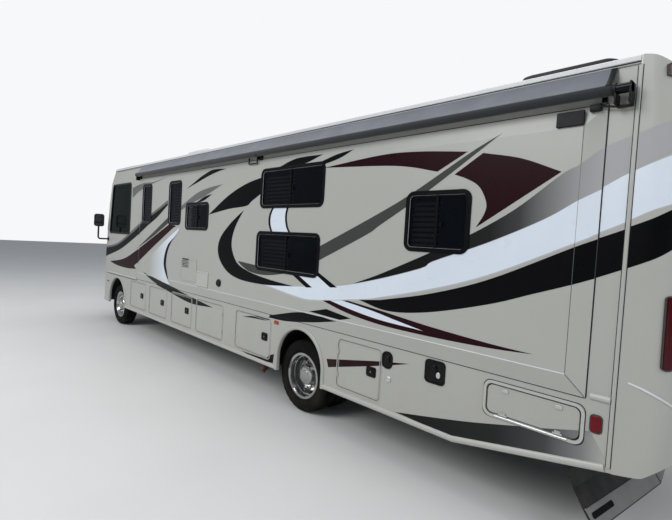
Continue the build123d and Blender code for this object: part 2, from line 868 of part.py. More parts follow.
def front_rim(side):
    """A front wheel: barrel, lips, disc and hub with its bore."""
    across_radius = [
        (-face_half, barrel_radius),
        (-face_half, lip_radius),
        (-face_lip, lip_radius),
        (-face_lip, well_radius),
        (disc_out, well_radius),
        (disc_out + disc_dish, disc_edge_radius),
        (disc_out, disc_root_radius),
        (-hub_inward, hub_radius),
        (-hub_inward, bore_radius),
        (hub_reach, bore_radius),
        (hub_reach, hub_radius),
        (hub_step, disc_root_radius),
        (disc_out + disc_dish + disc_thick, disc_edge_radius),
        (face_lip, well_radius),
        (face_lip, lip_radius),
        (face_half, lip_radius),
        (face_half, barrel_radius),
    ]
    points = [(side * (front_tyre_y + across), radius) for across, radius in across_radius]
    return ring_turn(front_axle_x, points)


def rear_rims(side):
    """The twin rear wheels as one piece: two barrels with their lips, and a hub."""
    outer_mid = dual_outer_y
    inner_mid = dual_outer_y - dual_spacing
    across_radius = [
        (inner_mid - face_half, barrel_radius),
        (inner_mid - face_half, lip_radius),
        (inner_mid - face_lip, lip_radius),
        (inner_mid - face_lip, well_radius),
        (inner_mid + dual_disc_out, well_radius),
        (inner_mid + dual_disc_out + disc_dish, disc_root_radius),
        (inner_mid + hub_step, hub_radius),
        (inner_mid + hub_step, bore_radius),
        (outer_mid + hub_step, bore_radius),
        (outer_mid + hub_step, hub_radius),
        (outer_mid - hub_step, disc_root_radius),
        (outer_mid - dual_disc_out, well_radius),
        (outer_mid + face_lip, well_radius),
        (outer_mid + face_lip, lip_radius),
        (outer_mid + face_half, lip_radius),
        (outer_mid + face_half, barrel_radius),
        (outer_mid - face_half, barrel_radius),
        (outer_mid - face_half, lip_radius),
        (outer_mid - face_lip, lip_radius),
        (outer_mid - face_lip, barrel_radius - band_wall),
        (inner_mid + face_lip, barrel_radius - band_wall),
        (inner_mid + face_lip, lip_radius),
        (inner_mid + face_half, lip_radius),
        (inner_mid + face_half, barrel_radius),
    ]
    return ring_turn(rear_axle_x, [(side * across, radius) for across, radius in across_radius])


for side, side_name in ((1, "left"), (-1, "right")):
    front_tyre = tyre_solid(front_axle_x, side * front_tyre_y)
    front_tyre.label = "front_" + side_name + "_tyre"
    export_step(front_tyre, "parts/front_" + side_name + "_tyre.step")
    front_wheel = front_rim(side)
    front_wheel.label = "front_" + side_name + "_wheel"
    export_step(front_wheel, "parts/front_" + side_name + "_wheel.step")
    with BuildPart() as rear_tyres:
        add(tyre_solid(rear_axle_x, side * dual_outer_y))
        add(tyre_solid(rear_axle_x, side * (dual_outer_y - dual_spacing)))
    rear_tyres.part.label = "rear_" + side_name + "_tyres"
    export_step(rear_tyres.part, "parts/rear_" + side_name + "_tyres.step")
    rear_wheels = rear_rims(side)
    rear_wheels.label = "rear_" + side_name + "_wheels"
    export_step(rear_wheels, "parts/rear_" + side_name + "_wheels.step")

# Chassis: two rails, cross members below the floor and outriggers to it
rail_end_back = 60.0
rail_rear_x = rear_seam_x + rail_end_back
rail_front_x = nose_x - nose_rows[0][1] - rail_end_back
rail_half = rail_width / 2
under_floor = floor_top - floor_thick - seam_gap
cross_low = rail_low + 100.0
cross_high = rail_high - 20.0
cross_half = 40.0
post_half = 30.0
bay_wall_y = rail_y + 70.0
cross_count = 7
engine_room = 1600.0
cross_pitch = (rail_front_x - rail_rear_x - engine_room) / (cross_count - 1)
receiver_outer = 64.0
receiver_bore = 51.0
receiver_deep = 200.0
receiver_z = rail_low - 60.0
receiver_bar = 40.0
nose_cross_back = 20.0
nose_cross_long = 80.0
jack_pad_x = front_axle_x - 1200.0
jack_pad_half = 60.0
jack_pad_thick = 10.0
with BuildPart() as chassis_frame:
    # hitch receiver on its bar under the rails
    add(box_between((rail_rear_x - receiver_bar, -rail_y - rail_half, receiver_z - receiver_bar),
                    (rail_rear_x + rail_end_back, rail_y + rail_half, rail_low)))
    receiver_x = cap_tail_x + receiver_bar
    add(box_between((receiver_x, -receiver_outer / 2, receiver_z - receiver_outer / 2),
                    (rail_rear_x, receiver_outer / 2, receiver_z + receiver_outer / 2)))
    add(box_between((receiver_x - cut, -receiver_bore / 2, receiver_z - receiver_bore / 2),
                    (receiver_x + receiver_deep, receiver_bore / 2, receiver_z + receiver_bore / 2)),
        mode=Mode.SUBTRACT)
    for side in (1, -1):
        add(box_between((rail_rear_x, side * rail_y - rail_half, rail_low),
                        (rail_front_x, side * rail_y + rail_half, rail_high)))
        add(box_between((jack_pad_x - jack_pad_half, side * rail_y - rail_half, rail_low - jack_pad_thick),
                        (jack_pad_x + jack_pad_half, side * rail_y + rail_half, rail_low)))
    for index in range(cross_count):
        cross_x = rail_rear_x + rail_end_back + index * cross_pitch
        add(box_between((cross_x - cross_half, -rail_y, cross_low), (cross_x + cross_half, rail_y, cross_high)))
        add(box_between((cross_x - post_half, -bay_wall_y + 2 * cut, rail_high - cut),
                        (cross_x + post_half, bay_wall_y - 2 * cut, under_floor)))
    # cross member ahead of the engine, with its posts to the floor
    nose_cross_x = rail_front_x - nose_cross_back
    add(box_between((nose_cross_x - nose_cross_long, -rail_y, cross_low), (nose_cross_x, rail_y, cross_high)))
    for side in (1, -1):
        add(box_between((nose_cross_x - nose_cross_long, side * rail_y - post_half, rail_high - cut),
                        (nose_cross_x, side * rail_y + post_half, under_floor)))
chassis_frame.part.label = "chassis_frame"
export_step(chassis_frame.part, "parts/chassis_frame.step")

engine_low = rail_low - 60.0
engine_long = 950.0
engine_ahead = 130.0
engine_under = 20.0
engine_wide = 2 * rail_y - rail_width - 2 * seam_gap
engine_front_x = rail_front_x - engine_ahead
engine_rear_x = engine_front_x - engine_long
with BuildPart() as engine_block:
    add(box_between((engine_rear_x, -engine_wide / 2, engine_low),
                    (engine_front_x, engine_wide / 2, floor_top - floor_thick - engine_under)))
engine_block.part.label = "engine_block"
export_step(engine_block.part, "parts/engine_block.step")

# Fuel tank, and the exhaust from the engine to the left side ahead of the rear wheels
tank_half = rail_y - rail_half - 10.0
tank_low = skirt_bottom + 30.0
tank_rear_x = rear_axle_x - 2765.0
tank_front_x = rear_axle_x - 1065.0
exhaust_y = rail_y - 180.0
exhaust_z = rail_low - 20.0
exhaust_radius = 35.0
exhaust_bend = 100.0
shaft_radius = 42.0
shaft_clear = 18.0
muffler_rail_gap = 70.0
muffler_inner_y = shaft_radius + shaft_clear
muffler_outer_y = rail_y - rail_half - muffler_rail_gap
muffler_y = (muffler_inner_y + muffler_outer_y) / 2
muffler_half_wide = (muffler_outer_y - muffler_inner_y) / 2
muffler_half_tall = 100.0
muffler_front_x = front_axle_x - 2500.0
muffler_rear_x = muffler_front_x - 700.0
outlet_x = rear_axle_x + 695.0
outlet_z = skirt_bottom - 30.0
outlet_y = body_half - 60.0
outlet_back = 300.0
outlet_side = 150.0
hanger_half = 15.0
hanger_crosses = (4, 5)
with BuildPart() as tanks_and_exhaust:
    add(box_between((tank_rear_x, -tank_half, tank_low), (tank_front_x, tank_half, cross_low - seam_gap)))
    with BuildLine() as exhaust_line:
        FilletPolyline((engine_rear_x - cut, exhaust_y, exhaust_z),
                       (outlet_x + outlet_back, exhaust_y, exhaust_z),
                       (outlet_x, exhaust_y + outlet_side, outlet_z),
                       (outlet_x, outlet_y, outlet_z), radius=exhaust_bend)
    with BuildSketch(Plane(origin=(engine_rear_x - cut, exhaust_y, exhaust_z), z_dir=(-1, 0, 0))):
        Circle(exhaust_radius)
    sweep(path=exhaust_line.line)
    with BuildSketch(Plane(origin=(muffler_front_x, muffler_y, exhaust_z), z_dir=(-1, 0, 0))):
        Ellipse(muffler_half_wide, muffler_half_tall)
    extrude(amount=muffler_front_x - muffler_rear_x)
    for cross_index in hanger_crosses:
        cross_x = rail_rear_x + rail_end_back + cross_index * cross_pitch
        add(box_between((cross_x - hanger_half, exhaust_y - hanger_half, exhaust_z),
                        (cross_x + hanger_half, exhaust_y + hanger_half, cross_low - seam_gap)))
tanks_and_exhaust.part.label = "tanks_and_exhaust"
export_step(tanks_and_exhaust.part, "parts/tanks_and_exhaust.step")


# Axles
leaf_thick = 45.0
leaf_extra = 10.0
leaf_wide = 70.0
leaf_eye = 60.0
leaf_sink = 6.0
front_leaf_half = 560.0
rear_leaf_half = 680.0


def leaf_spring(axle_x, y, seat_z, half_long):
    """A leaf pack under a rail: flat on the axle, its ends up against the rail."""
    eye_z = rail_low - seam_gap
    seat_half = 2 * leaf_thick
    rows = [
        (half_long, eye_z),
        (half_long, eye_z - leaf_thick),
        (seat_half, seat_z),
        (-seat_half, seat_z),
        (-half_long, eye_z - leaf_thick),
        (-half_long, eye_z),
        (-half_long + leaf_eye, eye_z),
        (-seat_half, seat_z + leaf_thick + leaf_extra),
        (seat_half, seat_z + leaf_thick + leaf_extra),
        (half_long - leaf_eye, eye_z),
    ]
    with BuildPart() as spring:
        with BuildSketch(side_plane(y + leaf_wide / 2)):
            with BuildLine():
                Polyline(*[(axle_x + ahead, height) for ahead, height in rows], close=True)
            make_face()
        extrude(amount=leaf_wide)
    return spring.part


def upright(x, y, low, high, radius):
    """A round post or hole on a vertical line."""
    with BuildPart() as post:
        with BuildSketch(Plane.XY.offset(low)):
            with Locations((x, y)):
                Circle(radius)
        extrude(amount=high - low)
    return post.part


def crosswise(x, z, y_low, y_high, radius):
    """A round bar or bore across the vehicle."""
    with BuildPart() as bar:
        with BuildSketch(Plane.XZ.offset(-y_high)):
            with Locations((x, z)):
                Circle(radius)
        extrude(amount=y_high - y_low)
    return bar.part


eye_radius = 45.0
eye_half = 50.0
eye_low = tyre_radius - eye_half
eye_high = tyre_radius + eye_half
ear_thick = 38.0
ear_low = eye_low - seam_gap - ear_thick
ear_high = eye_high + seam_gap + ear_thick
beam_drop = 60.0
beam_half = 40.0
beam_wide_half = 38.0
beam_back = 180.0
goose_back = 240.0
goose_step = 30.0
with BuildPart() as front_axle:
    beam_z = tyre_radius - beam_drop
    add(box_between((front_axle_x - beam_wide_half, -kingpin_y + beam_back, beam_z - beam_half),
                    (front_axle_x + beam_wide_half, kingpin_y - beam_back, beam_z + beam_half)))
    for side in (1, -1):
        near, far = sorted((side * (kingpin_y - goose_back), side * kingpin_y))
        add(box_between((front_axle_x - beam_wide_half, near, eye_low + cut),
                        (front_axle_x + beam_wide_half, far, eye_high - goose_step)))
        add(upright(front_axle_x, side * kingpin_y, eye_low, eye_high, eye_radius))
        add(leaf_spring(front_axle_x, side * rail_y, beam_z + beam_half - cut, front_leaf_half))
    for side in (1, -1):
        add(upright(front_axle_x, side * kingpin_y, 0, rail_low, kingpin_radius + running_gap),
            mode=Mode.SUBTRACT)
front_axle.part.label = "front_axle"
export_step(front_axle.part, "parts/front_axle.step")

arm_high = ear_low + 22.0
arm_half_wide = 20.0
ball_radius = 10.0
ball_tall = 40.0
boss_radius = 24.0
rod_radius = 16.0
rod_low = arm_high + seam_gap
rod_tall = 34.0
yoke_reach = 70.0
yoke_half = 42.0
yoke_clear = 5.0
yoke_thick = 22.0
stub_inset = 8.0


def knuckle(side):
    """Yoke about the kingpin, spindle outward and steering arm to the rear."""
    x = front_axle_x
    with BuildPart() as piece:
        add(upright(x, side * kingpin_y, ear_low, ear_high, kingpin_radius))
        for low, high in ((ear_low, eye_low - seam_gap), (eye_high + seam_gap, ear_high)):
            add(upright(x, side * kingpin_y, low, high, eye_radius))
            near, far = sorted((side * kingpin_y, side * (kingpin_y + yoke_reach)))
            add(box_between((x - yoke_half, near, low), (x + yoke_half, far, high)))
        plate_y = kingpin_y + eye_radius + yoke_clear
        near, far = sorted((side * plate_y, side * (plate_y + yoke_thick)))
        add(box_between((x - yoke_half, near, ear_low), (x + yoke_half, far, ear_high)))
        near, far = sorted((side * (plate_y + yoke_clear), side * (front_tyre_y + hub_reach - stub_inset)))
        add(crosswise(x, tyre_radius, near, far, spindle_radius))
        near, far = sorted((side * (kingpin_y - arm_half_wide), side * (kingpin_y + arm_half_wide)))
        add(box_between((x - arm_length - arm_half_wide, near, ear_low), (x - arm_half_wide, far, arm_high)))
        add(upright(x - arm_length, side * kingpin_y, ear_low, arm_high + ball_tall, ball_radius))
    return piece.part


for side, side_name in ((1, "left"), (-1, "right")):
    steered = knuckle(side)
    steered.label = side_name + "_knuckle"
    export_step(steered, "parts/" + side_name + "_knuckle.step")

with BuildPart() as tie_rod:
    rod_x = front_axle_x - arm_length
    add(crosswise(rod_x, rod_low + rod_tall / 2, -kingpin_y, kingpin_y, rod_radius))
    for side in (1, -1):
        add(upright(rod_x, side * kingpin_y, rod_low, rod_low + rod_tall, boss_radius))
    for side in (1, -1):
        add(upright(rod_x, side * kingpin_y, 0, rail_low, ball_radius + running_gap), mode=Mode.SUBTRACT)
tie_rod.part.label = "tie_rod"
export_step(tie_rod.part, "parts/tie_rod.step")

axle_tube_radius = 62.0
differential_radius = 185.0
shaft_front_z = engine_low + 50.0
tube_over = 30.0
stub_over = 55.0
shaft_short = 6.0
with BuildPart() as rear_axle:
    tube_half = dual_outer_y - dual_spacing + tube_over
    add(crosswise(rear_axle_x, tyre_radius, -tube_half, tube_half, axle_tube_radius))
    stub_half = dual_outer_y + stub_over
    add(crosswise(rear_axle_x, tyre_radius, -stub_half, stub_half, spindle_radius))
    with Locations((rear_axle_x, 0, tyre_radius)):
        Sphere(differential_radius)
    shaft_end = Vector(engine_rear_x - seam_gap, 0, shaft_front_z)
    shaft_start = Vector(rear_axle_x, 0, tyre_radius)
    with BuildSketch(Plane(origin=shaft_start, z_dir=shaft_end - shaft_start)):
        Circle(shaft_radius)
    extrude(amount=(shaft_end - shaft_start).length - shaft_short)
    for side in (1, -1):
        add(leaf_spring(rear_axle_x, side * rail_y, tyre_radius + axle_tube_radius - leaf_sink, rear_leaf_half))
rear_axle.part.label = "rear_axle"
export_step(rear_axle.part, "parts/rear_axle.step")


# Baggage bays: trays open to the doors. Rear edge, front edge, bottom, side
bay_thick = 8.0
bay_top = under_floor
tray_low = skirt_bottom + 22.0
bay_room = 15.0
bay_gap = 5.0
bay_rear_x = rear_axle_x + rear_liner_half + bay_room
bay_front_x = front_axle_x - front_liner_half - bay_room
bay_mid_x = rear_axle_x - rear_liner_half - bay_room
rise_x = rear_axle_x - rear_rise_start
bay_rows = [
    (bay_rear_x, bay_front_x, tray_low, 1),
    (bay_rear_x, entry_rear_x - bay_room, tray_low, -1),
    (entry_front_x + bay_room, bay_front_x, tray_low, -1),
    (rise_x + bay_gap, bay_mid_x, tray_low, 1),
    (rise_x + bay_gap, bay_mid_x, tray_low, -1),
    (rear_seam_x + bay_gap, rise_x - bay_gap, tray_low + rear_skirt_rise, 1),
    (rear_seam_x + bay_gap, rise_x - bay_gap, tray_low + rear_skirt_rise, -1),
]
liner_foot = skirt_bottom + 30.0
# Wheel arch liners and the bays
with BuildPart() as basement_liners:
    for axle_x, half in ((front_axle_x, front_liner_half), (rear_axle_x, rear_liner_half)):
        for side in (1, -1):
            near, far = sorted((side * liner_inner_y, side * (body_half - skirt_thick - seam_gap)))
            with BuildPart(mode=Mode.PRIVATE) as shell:
                add(arch_block(axle_x, half + liner_thick, liner_top + liner_thick, near, far))
                add(arch_block(axle_x, half, liner_top, near - cut, far + cut), mode=Mode.SUBTRACT)
                foot_half = half + liner_thick + cut
                add(box_between((axle_x - foot_half, -body_half, 0),
                                (axle_x + foot_half, body_half, liner_foot)), mode=Mode.SUBTRACT)
            add(shell.part)
    for bay_rear, bay_front, bay_low, side in bay_rows:
        near, far = sorted((side * bay_wall_y, side * (body_half - skirt_thick - seam_gap)))
        cut_near = near + bay_thick if side > 0 else near - cut
        cut_far = far + cut if side > 0 else far - bay_thick
        with BuildPart(mode=Mode.PRIVATE) as tray:
            add(box_between((bay_rear, near, bay_low), (bay_front, far, bay_top)))
            add(box_between((bay_rear + bay_thick, cut_near, bay_low + bay_thick),
                            (bay_front - bay_thick, cut_far, bay_top + cut)), mode=Mode.SUBTRACT)
        add(tray.part)
basement_liners.part.label = "basement_liners"
export_step(basement_liners.part, "parts/basement_liners.step")

# Entry stairs and the step that slides out under them
stair_rear = entry_rear_x + seam_gap
stair_front = entry_front_x - seam_gap
well_inner_y = -body_half + well_deep - seam_gap
stair_low = entry_low + 15.0
stair_outer_y = -body_half + skirt_thick + 2.0
with BuildPart() as entry_stairs:
    rise = (floor_top - stair_low) / tread_count
    run = (well_inner_y - stair_outer_y - tread_end) / tread_count
    profile = [(stair_outer_y, stair_low)]
    for index in range(tread_count):
        height = stair_low + tread_start + index * rise
        profile.append((stair_outer_y + index * run, height))
        profile.append((stair_outer_y + (index + 1) * run, height))
    profile.append((well_inner_y - tread_end, floor_top))
    profile.append((well_inner_y, floor_top))
    profile.append((well_inner_y, stair_low))
    with BuildSketch(Plane.YZ.offset(stair_rear)):
        with BuildLine():
            Polyline(*profile, close=True)
        make_face()
    extrude(amount=stair_front - stair_rear)
    for rail_x, inward in ((stair_rear + rail_in, 1), (stair_front - rail_in, -1)):
        near, far = sorted((rail_x, rail_x + inward * rail_wide))
        lip_near, lip_far = sorted((rail_x, rail_x + inward * rail_lip_wide))
        add(box_between((near, stair_outer_y, step_rail_low),
                        (far, stair_outer_y + rail_long, stair_low + cut)))
        add(box_between((lip_near, stair_outer_y, step_rail_low),
                        (lip_far, stair_outer_y + rail_long, step_rail_low + rail_lip)))
entry_stairs.part.label = "entry_stairs"
export_step(entry_stairs.part, "parts/entry_stairs.step")

with BuildPart() as sliding_step:
    board_low = step_rail_low + step_board_rise
    add(box_between((stair_rear + step_board_side, stair_outer_y - 2 * cut, board_low),
                    (stair_front - step_board_side, stair_outer_y + step_long, board_low + step_board_thick)))
    skid_low = step_rail_low + rail_lip + seam_gap
    add(box_between((stair_rear + step_skid_side, stair_outer_y + step_skid_start, skid_low),
                    (stair_front - step_skid_side, stair_outer_y + step_long, step_rail_low + step_skid_high)))
    add(box_between((stair_rear + step_face_side, -body_half + 2 * cut, step_rail_low),
                    (stair_front - step_face_side, stair_outer_y - cut, step_rail_low + step_face_tall)))
sliding_step.part.label = "sliding_step"
export_step(sliding_step.part, "parts/sliding_step.step")

# Dashboard with the steering column, and the steering wheel
driver_y = body_half - 722.5
wheel_tilt = 42.0
wheel_centre = Vector(front_axle_x - 150, driver_y, floor_top + 700)
column_way = Vector(math.sin(math.radians(wheel_tilt)), 0, -math.cos(math.radians(wheel_tilt)))
column_radius = 24.0
column_long = 420.0
column_over = 10.0
dash_half = body_half - 182.5
# distance behind the nose, height above the floor
dash_rows = [
    (1000.0, 400.0),
    (930.0, 500.0),
    (130.0, 500.0),
    (130.0, 470.0),
    (420.0, 400.0),
    (420.0, seam_gap),
    (640.0, seam_gap),
    (800.0, 250.0),
    (1000.0, 280.0),
]
with BuildPart() as dashboard:
    with BuildSketch(side_plane(dash_half)):
        with BuildLine():
            Polyline(*[(nose_x - back, floor_top + height) for back, height in dash_rows], close=True)
        make_face()
    extrude(amount=2 * dash_half)
    with BuildSketch(Plane(origin=wheel_centre - column_way * column_over, z_dir=column_way)):
        Circle(column_radius)
    extrude(amount=column_long)
dashboard.part.label = "dashboard"
export_step(dashboard.part, "parts/dashboard.step")

steering_radius = 225.0
steering_rim = 15.0
steering_hub = 60.0
steering_hub_deep = 60.0
spoke_wide = 36.0
spoke_thick = 16.0
spoke_turns = (0, 120, 240)
first_spoke = -90
with BuildPart() as steering_wheel:
    wheel_plane = Plane(origin=wheel_centre, x_dir=(0, 1, 0), z_dir=column_way * -1)
    with BuildSketch(wheel_plane.offset(-steering_hub_deep / 2)):
        Circle(steering_hub)
    extrude(amount=steering_hub_deep)
    for turn in spoke_turns:
        spoke_angle = math.radians(turn + first_spoke)
        spoke_reach = steering_radius / 2
        spoke_mid = (spoke_reach * math.cos(spoke_angle), spoke_reach * math.sin(spoke_angle), 0)
        with BuildSketch(wheel_plane.offset(-spoke_thick / 2)):
            with Locations(Location(spoke_mid, (0, 0, turn + first_spoke))):
                Rectangle(steering_radius, spoke_wide)
        extrude(amount=spoke_thick)
    rim_way = wheel_plane.x_dir.cross(wheel_plane.z_dir)
    with BuildSketch(Plane(origin=wheel_centre, x_dir=(0, 1, 0), z_dir=rim_way)):
        with Locations((steering_radius, 0)):
            Circle(steering_rim)
    revolve(axis=Axis(wheel_centre, wheel_plane.z_dir))
    with BuildSketch(wheel_plane.offset(-steering_hub_deep)):
        Circle(column_radius + running_gap)
    extrude(amount=steering_hub_deep + column_over + seam_gap, mode=Mode.SUBTRACT)
steering_wheel.part.label = "steering_wheel"
export_step(steering_wheel.part, "parts/steering_wheel.step")

# Cab seats: plinth, cushion and back
seat_x = front_axle_x - 850.0
plinth_back = 60.0
plinth_front = 420.0
plinth_half = 160.0
plinth_high = 330.0
cushion_long = 520.0
cushion_half = 260.0
cushion_high = 470.0
back_half = 240.0
# ahead of the cushion's rear edge, height above the floor
back_rows = [(10.0, 400.0), (-150.0, 1180.0), (-20.0, 1180.0), (140.0, 450.0)]
with BuildPart() as cab_seats:
    for side in (1, -1):
        seat_y = side * driver_y
        add(box_between((seat_x + plinth_back, seat_y - plinth_half, floor_top + seam_gap),
                        (seat_x + plinth_front, seat_y + plinth_half, floor_top + plinth_high)))
        add(box_between((seat_x, seat_y - cushion_half, floor_top + plinth_high - cut),
                        (seat_x + cushion_long, seat_y + cushion_half, floor_top + cushion_high)))
        with BuildSketch(side_plane(seat_y + back_half)):
            with BuildLine():
                Polyline(*[(seat_x + ahead, floor_top + height) for ahead, height in back_rows], close=True)
            make_face()
        extrude(amount=2 * back_half)
cab_seats.part.label = "cab_seats"
export_step(cab_seats.part, "parts/cab_seats.step")

# Cross partition with its doorway, and the kitchen cabinets ahead of it
slide_inner_y = box_y - slide_depth
partition_x = front_axle_x - 4500.0
partition_thick = 30.0
partition_clear = 25.0
doorway_right = rail_y - 730.0
doorway_left = doorway_right + 630.0
doorway_high = 1950.0
cabinet_deep = 620.0
cabinet_high = 910.0
cabinet_back = 60.0
with BuildPart() as interior:
    add(box_between((partition_x - partition_thick, -inner_half + seam_gap, floor_top + seam_gap),
                    (partition_x, slide_inner_y - partition_clear, wall_top)))
    add(box_between((partition_x - partition_thick - cut, doorway_right, floor_top - cut),
                    (partition_x + cut, doorway_left, floor_top + doorway_high)), mode=Mode.SUBTRACT)
    add(box_between((partition_x + seam_gap, -inner_half + seam_gap, floor_top + seam_gap),
                    (entry_rear_x - cabinet_back, -inner_half + cabinet_deep, floor_top + cabinet_high)))
interior.part.label = "interior"
export_step(interior.part, "parts/interior.step")

# Roof units: two air conditioners and three vents
unit_chamfer = 40.0
# centre along and across, half length, half width, height above the roof's crown
unit_places = [
    (front_axle_x - 1360.0, 0.0, 450.0, 350.0, 325.0),
    (rear_axle_x - 2370.0, 0.0, 450.0, 350.0, 325.0),
    (front_axle_x - 3100.0, 0.0, 180.0, 180.0, 110.0),
    (rear_axle_x + 235.0, 0.0, 180.0, 180.0, 110.0),
    (front_axle_x - 5000.0, -600.0, 60.0, 60.0, 90.0),
]
with BuildPart() as roof_units:
    for unit_x, unit_y, half_long, half_wide, above in unit_places:
        with BuildPart(mode=Mode.PRIVATE) as unit:
            add(box_between((unit_x - half_long, unit_y - half_wide, roof_edge),
                            (unit_x + half_long, unit_y + half_wide, roof_crown + above)))
            chamfer(unit.faces().sort_by(Axis.Z)[-1].edges(), unit_chamfer)
            add(crown_block(rear_seam_x, roof_front_x, -seam_gap, wall_top), mode=Mode.SUBTRACT)
        add(unit.part)
roof_units.part.label = "roof_units"
export_step(roof_units.part, "parts/roof_units.step")

# Mirrors on their arms
mirror_x = front_axle_x + 690.0
mirror_y = body_half + 217.5
mirror_foot_z = cab_window_sill - 151.0
mirror_z = mirror_foot_z + 400.0
mirror_half = 100.0
mirror_half_deep = 50.0
mirror_half_tall = 135.0
post_side = 18.0
with BuildPart() as mirrors:
    for side in (1, -1):
        near, far = sorted((side * (mirror_y - mirror_half), side * (mirror_y + mirror_half)))
        add(box_between((mirror_x - mirror_half_deep, near, mirror_z - mirror_half_tall),
                        (mirror_x + mirror_half_deep, far, mirror_z + mirror_half_tall)))
        near, far = sorted((side * (mirror_y - post_side), side * (mirror_y + post_side)))
        add(box_between((mirror_x - post_side, near, mirror_foot_z),
                        (mirror_x + post_side, far, mirror_z - mirror_half_tall + cut)))
        near, far = sorted((side * (body_half + seam_gap), side * (mirror_y + post_side)))
        add(box_between((mirror_x - post_side, near, mirror_foot_z - post_side),
                        (mirror_x + post_side, far, mirror_foot_z + post_side)))
mirrors.part.label = "mirrors"
export_step(mirrors.part, "parts/mirrors.step")

# Lamps: headlamps let into the nose, tail lamps on the rear corners, marker lamps on the skirts
lamp_proud = 10.0
lamp_seam = 60.0


def nose_patch(y_low, y_high, z_low, z_high):
    """A lens that follows the nose."""
    with BuildPart() as lens:
        add(nose_block(-lamp_proud, bumper_top, wall_top))
        add(nose_block(-seam_gap, bumper_top, wall_top + cut), mode=Mode.SUBTRACT)
        add(box_between((front_axle_x, y_low, z_low), (nose_x + 2 * lamp_proud, y_high, z_high)),
            mode=Mode.INTERSECT)
    return lens.part


def tail_patch(y_low, y_high, z_low, z_high):
    """A lens that follows the rear moulding."""
    with BuildPart() as lens:
        add(tail_block(-lamp_proud, tail_low, wall_top))
        add(tail_block(-seam_gap, tail_low - cut, wall_top + cut), mode=Mode.SUBTRACT)
        add(box_between((tail_x, y_low, z_low), (rear_seam_x - lamp_seam, y_high, z_high)), mode=Mode.INTERSECT)
    return lens.part


# inner and outer edge in from the side, bottom and top
headlamp_rows = [(522.5, 202.5, bumper_top + 210.0, bumper_top + 370.0)]
tail_lamp_rows = [
    (222.5, 42.5, belt + 281.0, belt + 721.0),
    (222.5, 10.0, wall_top - 102.0, wall_top - 29.0),
]
with BuildPart() as lamps:
    for side in (1, -1):
        for inner, outer, z_low, z_high in headlamp_rows:
            near, far = sorted((side * (body_half - inner), side * (body_half - outer)))
            add(nose_patch(near, far, z_low, z_high))
        for inner, outer, z_low, z_high in tail_lamp_rows:
            near, far = sorted((side * (body_half - inner), side * (body_half - outer)))
            add(tail_patch(near, far, z_low, z_high))
lamps.part.label = "lamps"
export_step(lamps.part, "parts/lamps.step")

# Patio awning, stowed on the right wall
awning_radius = 55.0
awning_y = -body_half - 75.0
awning_z = wall_top - 125.0
awning_foot_z = belt + 836.0
awning_arm_half = 22.0
awning_arm_in = 30.0
awning_arm_thick = 20.0
awning_front = front_axle_x - 900.0
awning_rear = rear_axle_x - 965.0
with BuildPart() as patio_awning:
    with BuildSketch(Plane.YZ.offset(awning_rear)):
        with Locations((awning_y, awning_z)):
            Circle(awning_radius)
    extrude(amount=awning_front - awning_rear)
    for arm_x in (awning_rear + awning_arm_in, awning_front - awning_arm_in):
        add(box_between((arm_x - awning_arm_half, awning_y - awning_arm_thick, awning_foot_z),
                        (arm_x + awning_arm_half, -body_half - seam_gap, awning_z)))
patio_awning.part.label = "patio_awning"
export_step(patio_awning.part, "parts/patio_awning.step")

# Ladder on the rear moulding
ladder_y = 582.5 - body_half
ladder_half = 200.0
ladder_radius = 12.0
rung_radius = ladder_radius - 1.0
stay_radius = ladder_radius - 2.0
ladder_x = tail_x + ladder_radius
ladder_low = tail_low + 276.0
ladder_high = wall_top - 65.0
stay_in = 60.0
rung_in = 130.0
rung_count = 8
with BuildPart() as ladder:
    for side in (1, -1):
        stile_y = ladder_y + side * ladder_half
        with BuildSketch(Plane.XY.offset(ladder_low)):
            with Locations((ladder_x, stile_y)):
                Circle(ladder_radius)
        extrude(amount=ladder_high - ladder_low)
        for height in (ladder_low + stay_in, (ladder_low + ladder_high) / 2, ladder_high - stay_in):
            with BuildSketch(Plane.YZ.offset(ladder_x)):
                with Locations((stile_y, height)):
                    Circle(stay_radius)
            extrude(amount=rear_seam_x - ladder_x)
    rung_pitch = (ladder_high - ladder_low - 2 * rung_in) / (rung_count - 1)
    for index in range(rung_count):
        height = ladder_low + rung_in + index * rung_pitch
        add(crosswise(ladder_x, height, ladder_y - ladder_half, ladder_y + ladder_half, rung_radius))
    add(tail_block(-seam_gap, tail_low, roof_crown + crown_over / 2), mode=Mode.SUBTRACT)
    keep = ladder.solids().sort_by(Axis.X)[0]
with BuildPart() as ladder_kept:
    add(keep)
ladder_kept.part.label = "ladder"
export_step(ladder_kept.part, "parts/ladder.step")

# Rubber guard hung across the tail: swept back to the middle and curled back at its foot
guard_low = skirt_bottom - 253.0
guard_thick = 10.0
guard_drop = 5.0
guard_half = body_half - 90.0
guard_sweep = 130.0
guard_middle_x = rail_rear_x + rail_end_back + seam_gap + guard_thick
# height, and how far it is behind its top there
guard_rows = [
    (guard_low, 180.0),
    (guard_low + 125.0, 95.0),
    (guard_low + 240.0, 25.0),
    (guard_low + 345.0, 0.0),
    (rail_low - guard_drop, 0.0),
]
with BuildPart() as rock_guard:
    for height, behind in guard_rows:
        middle_x = guard_middle_x - behind
        side_x = middle_x + guard_sweep
        with BuildSketch(Plane.XY.offset(height)):
            with BuildLine():
                Polyline((middle_x, 0), (side_x, guard_half), (side_x - guard_thick, guard_half),
                         (middle_x - guard_thick, 0), (side_x - guard_thick, -guard_half), (side_x, -guard_half),
                         close=True)
            make_face()
    loft(ruled=True)
rock_guard.part.label = "rock_guard"
export_step(rock_guard.part, "parts/rock_guard.step")
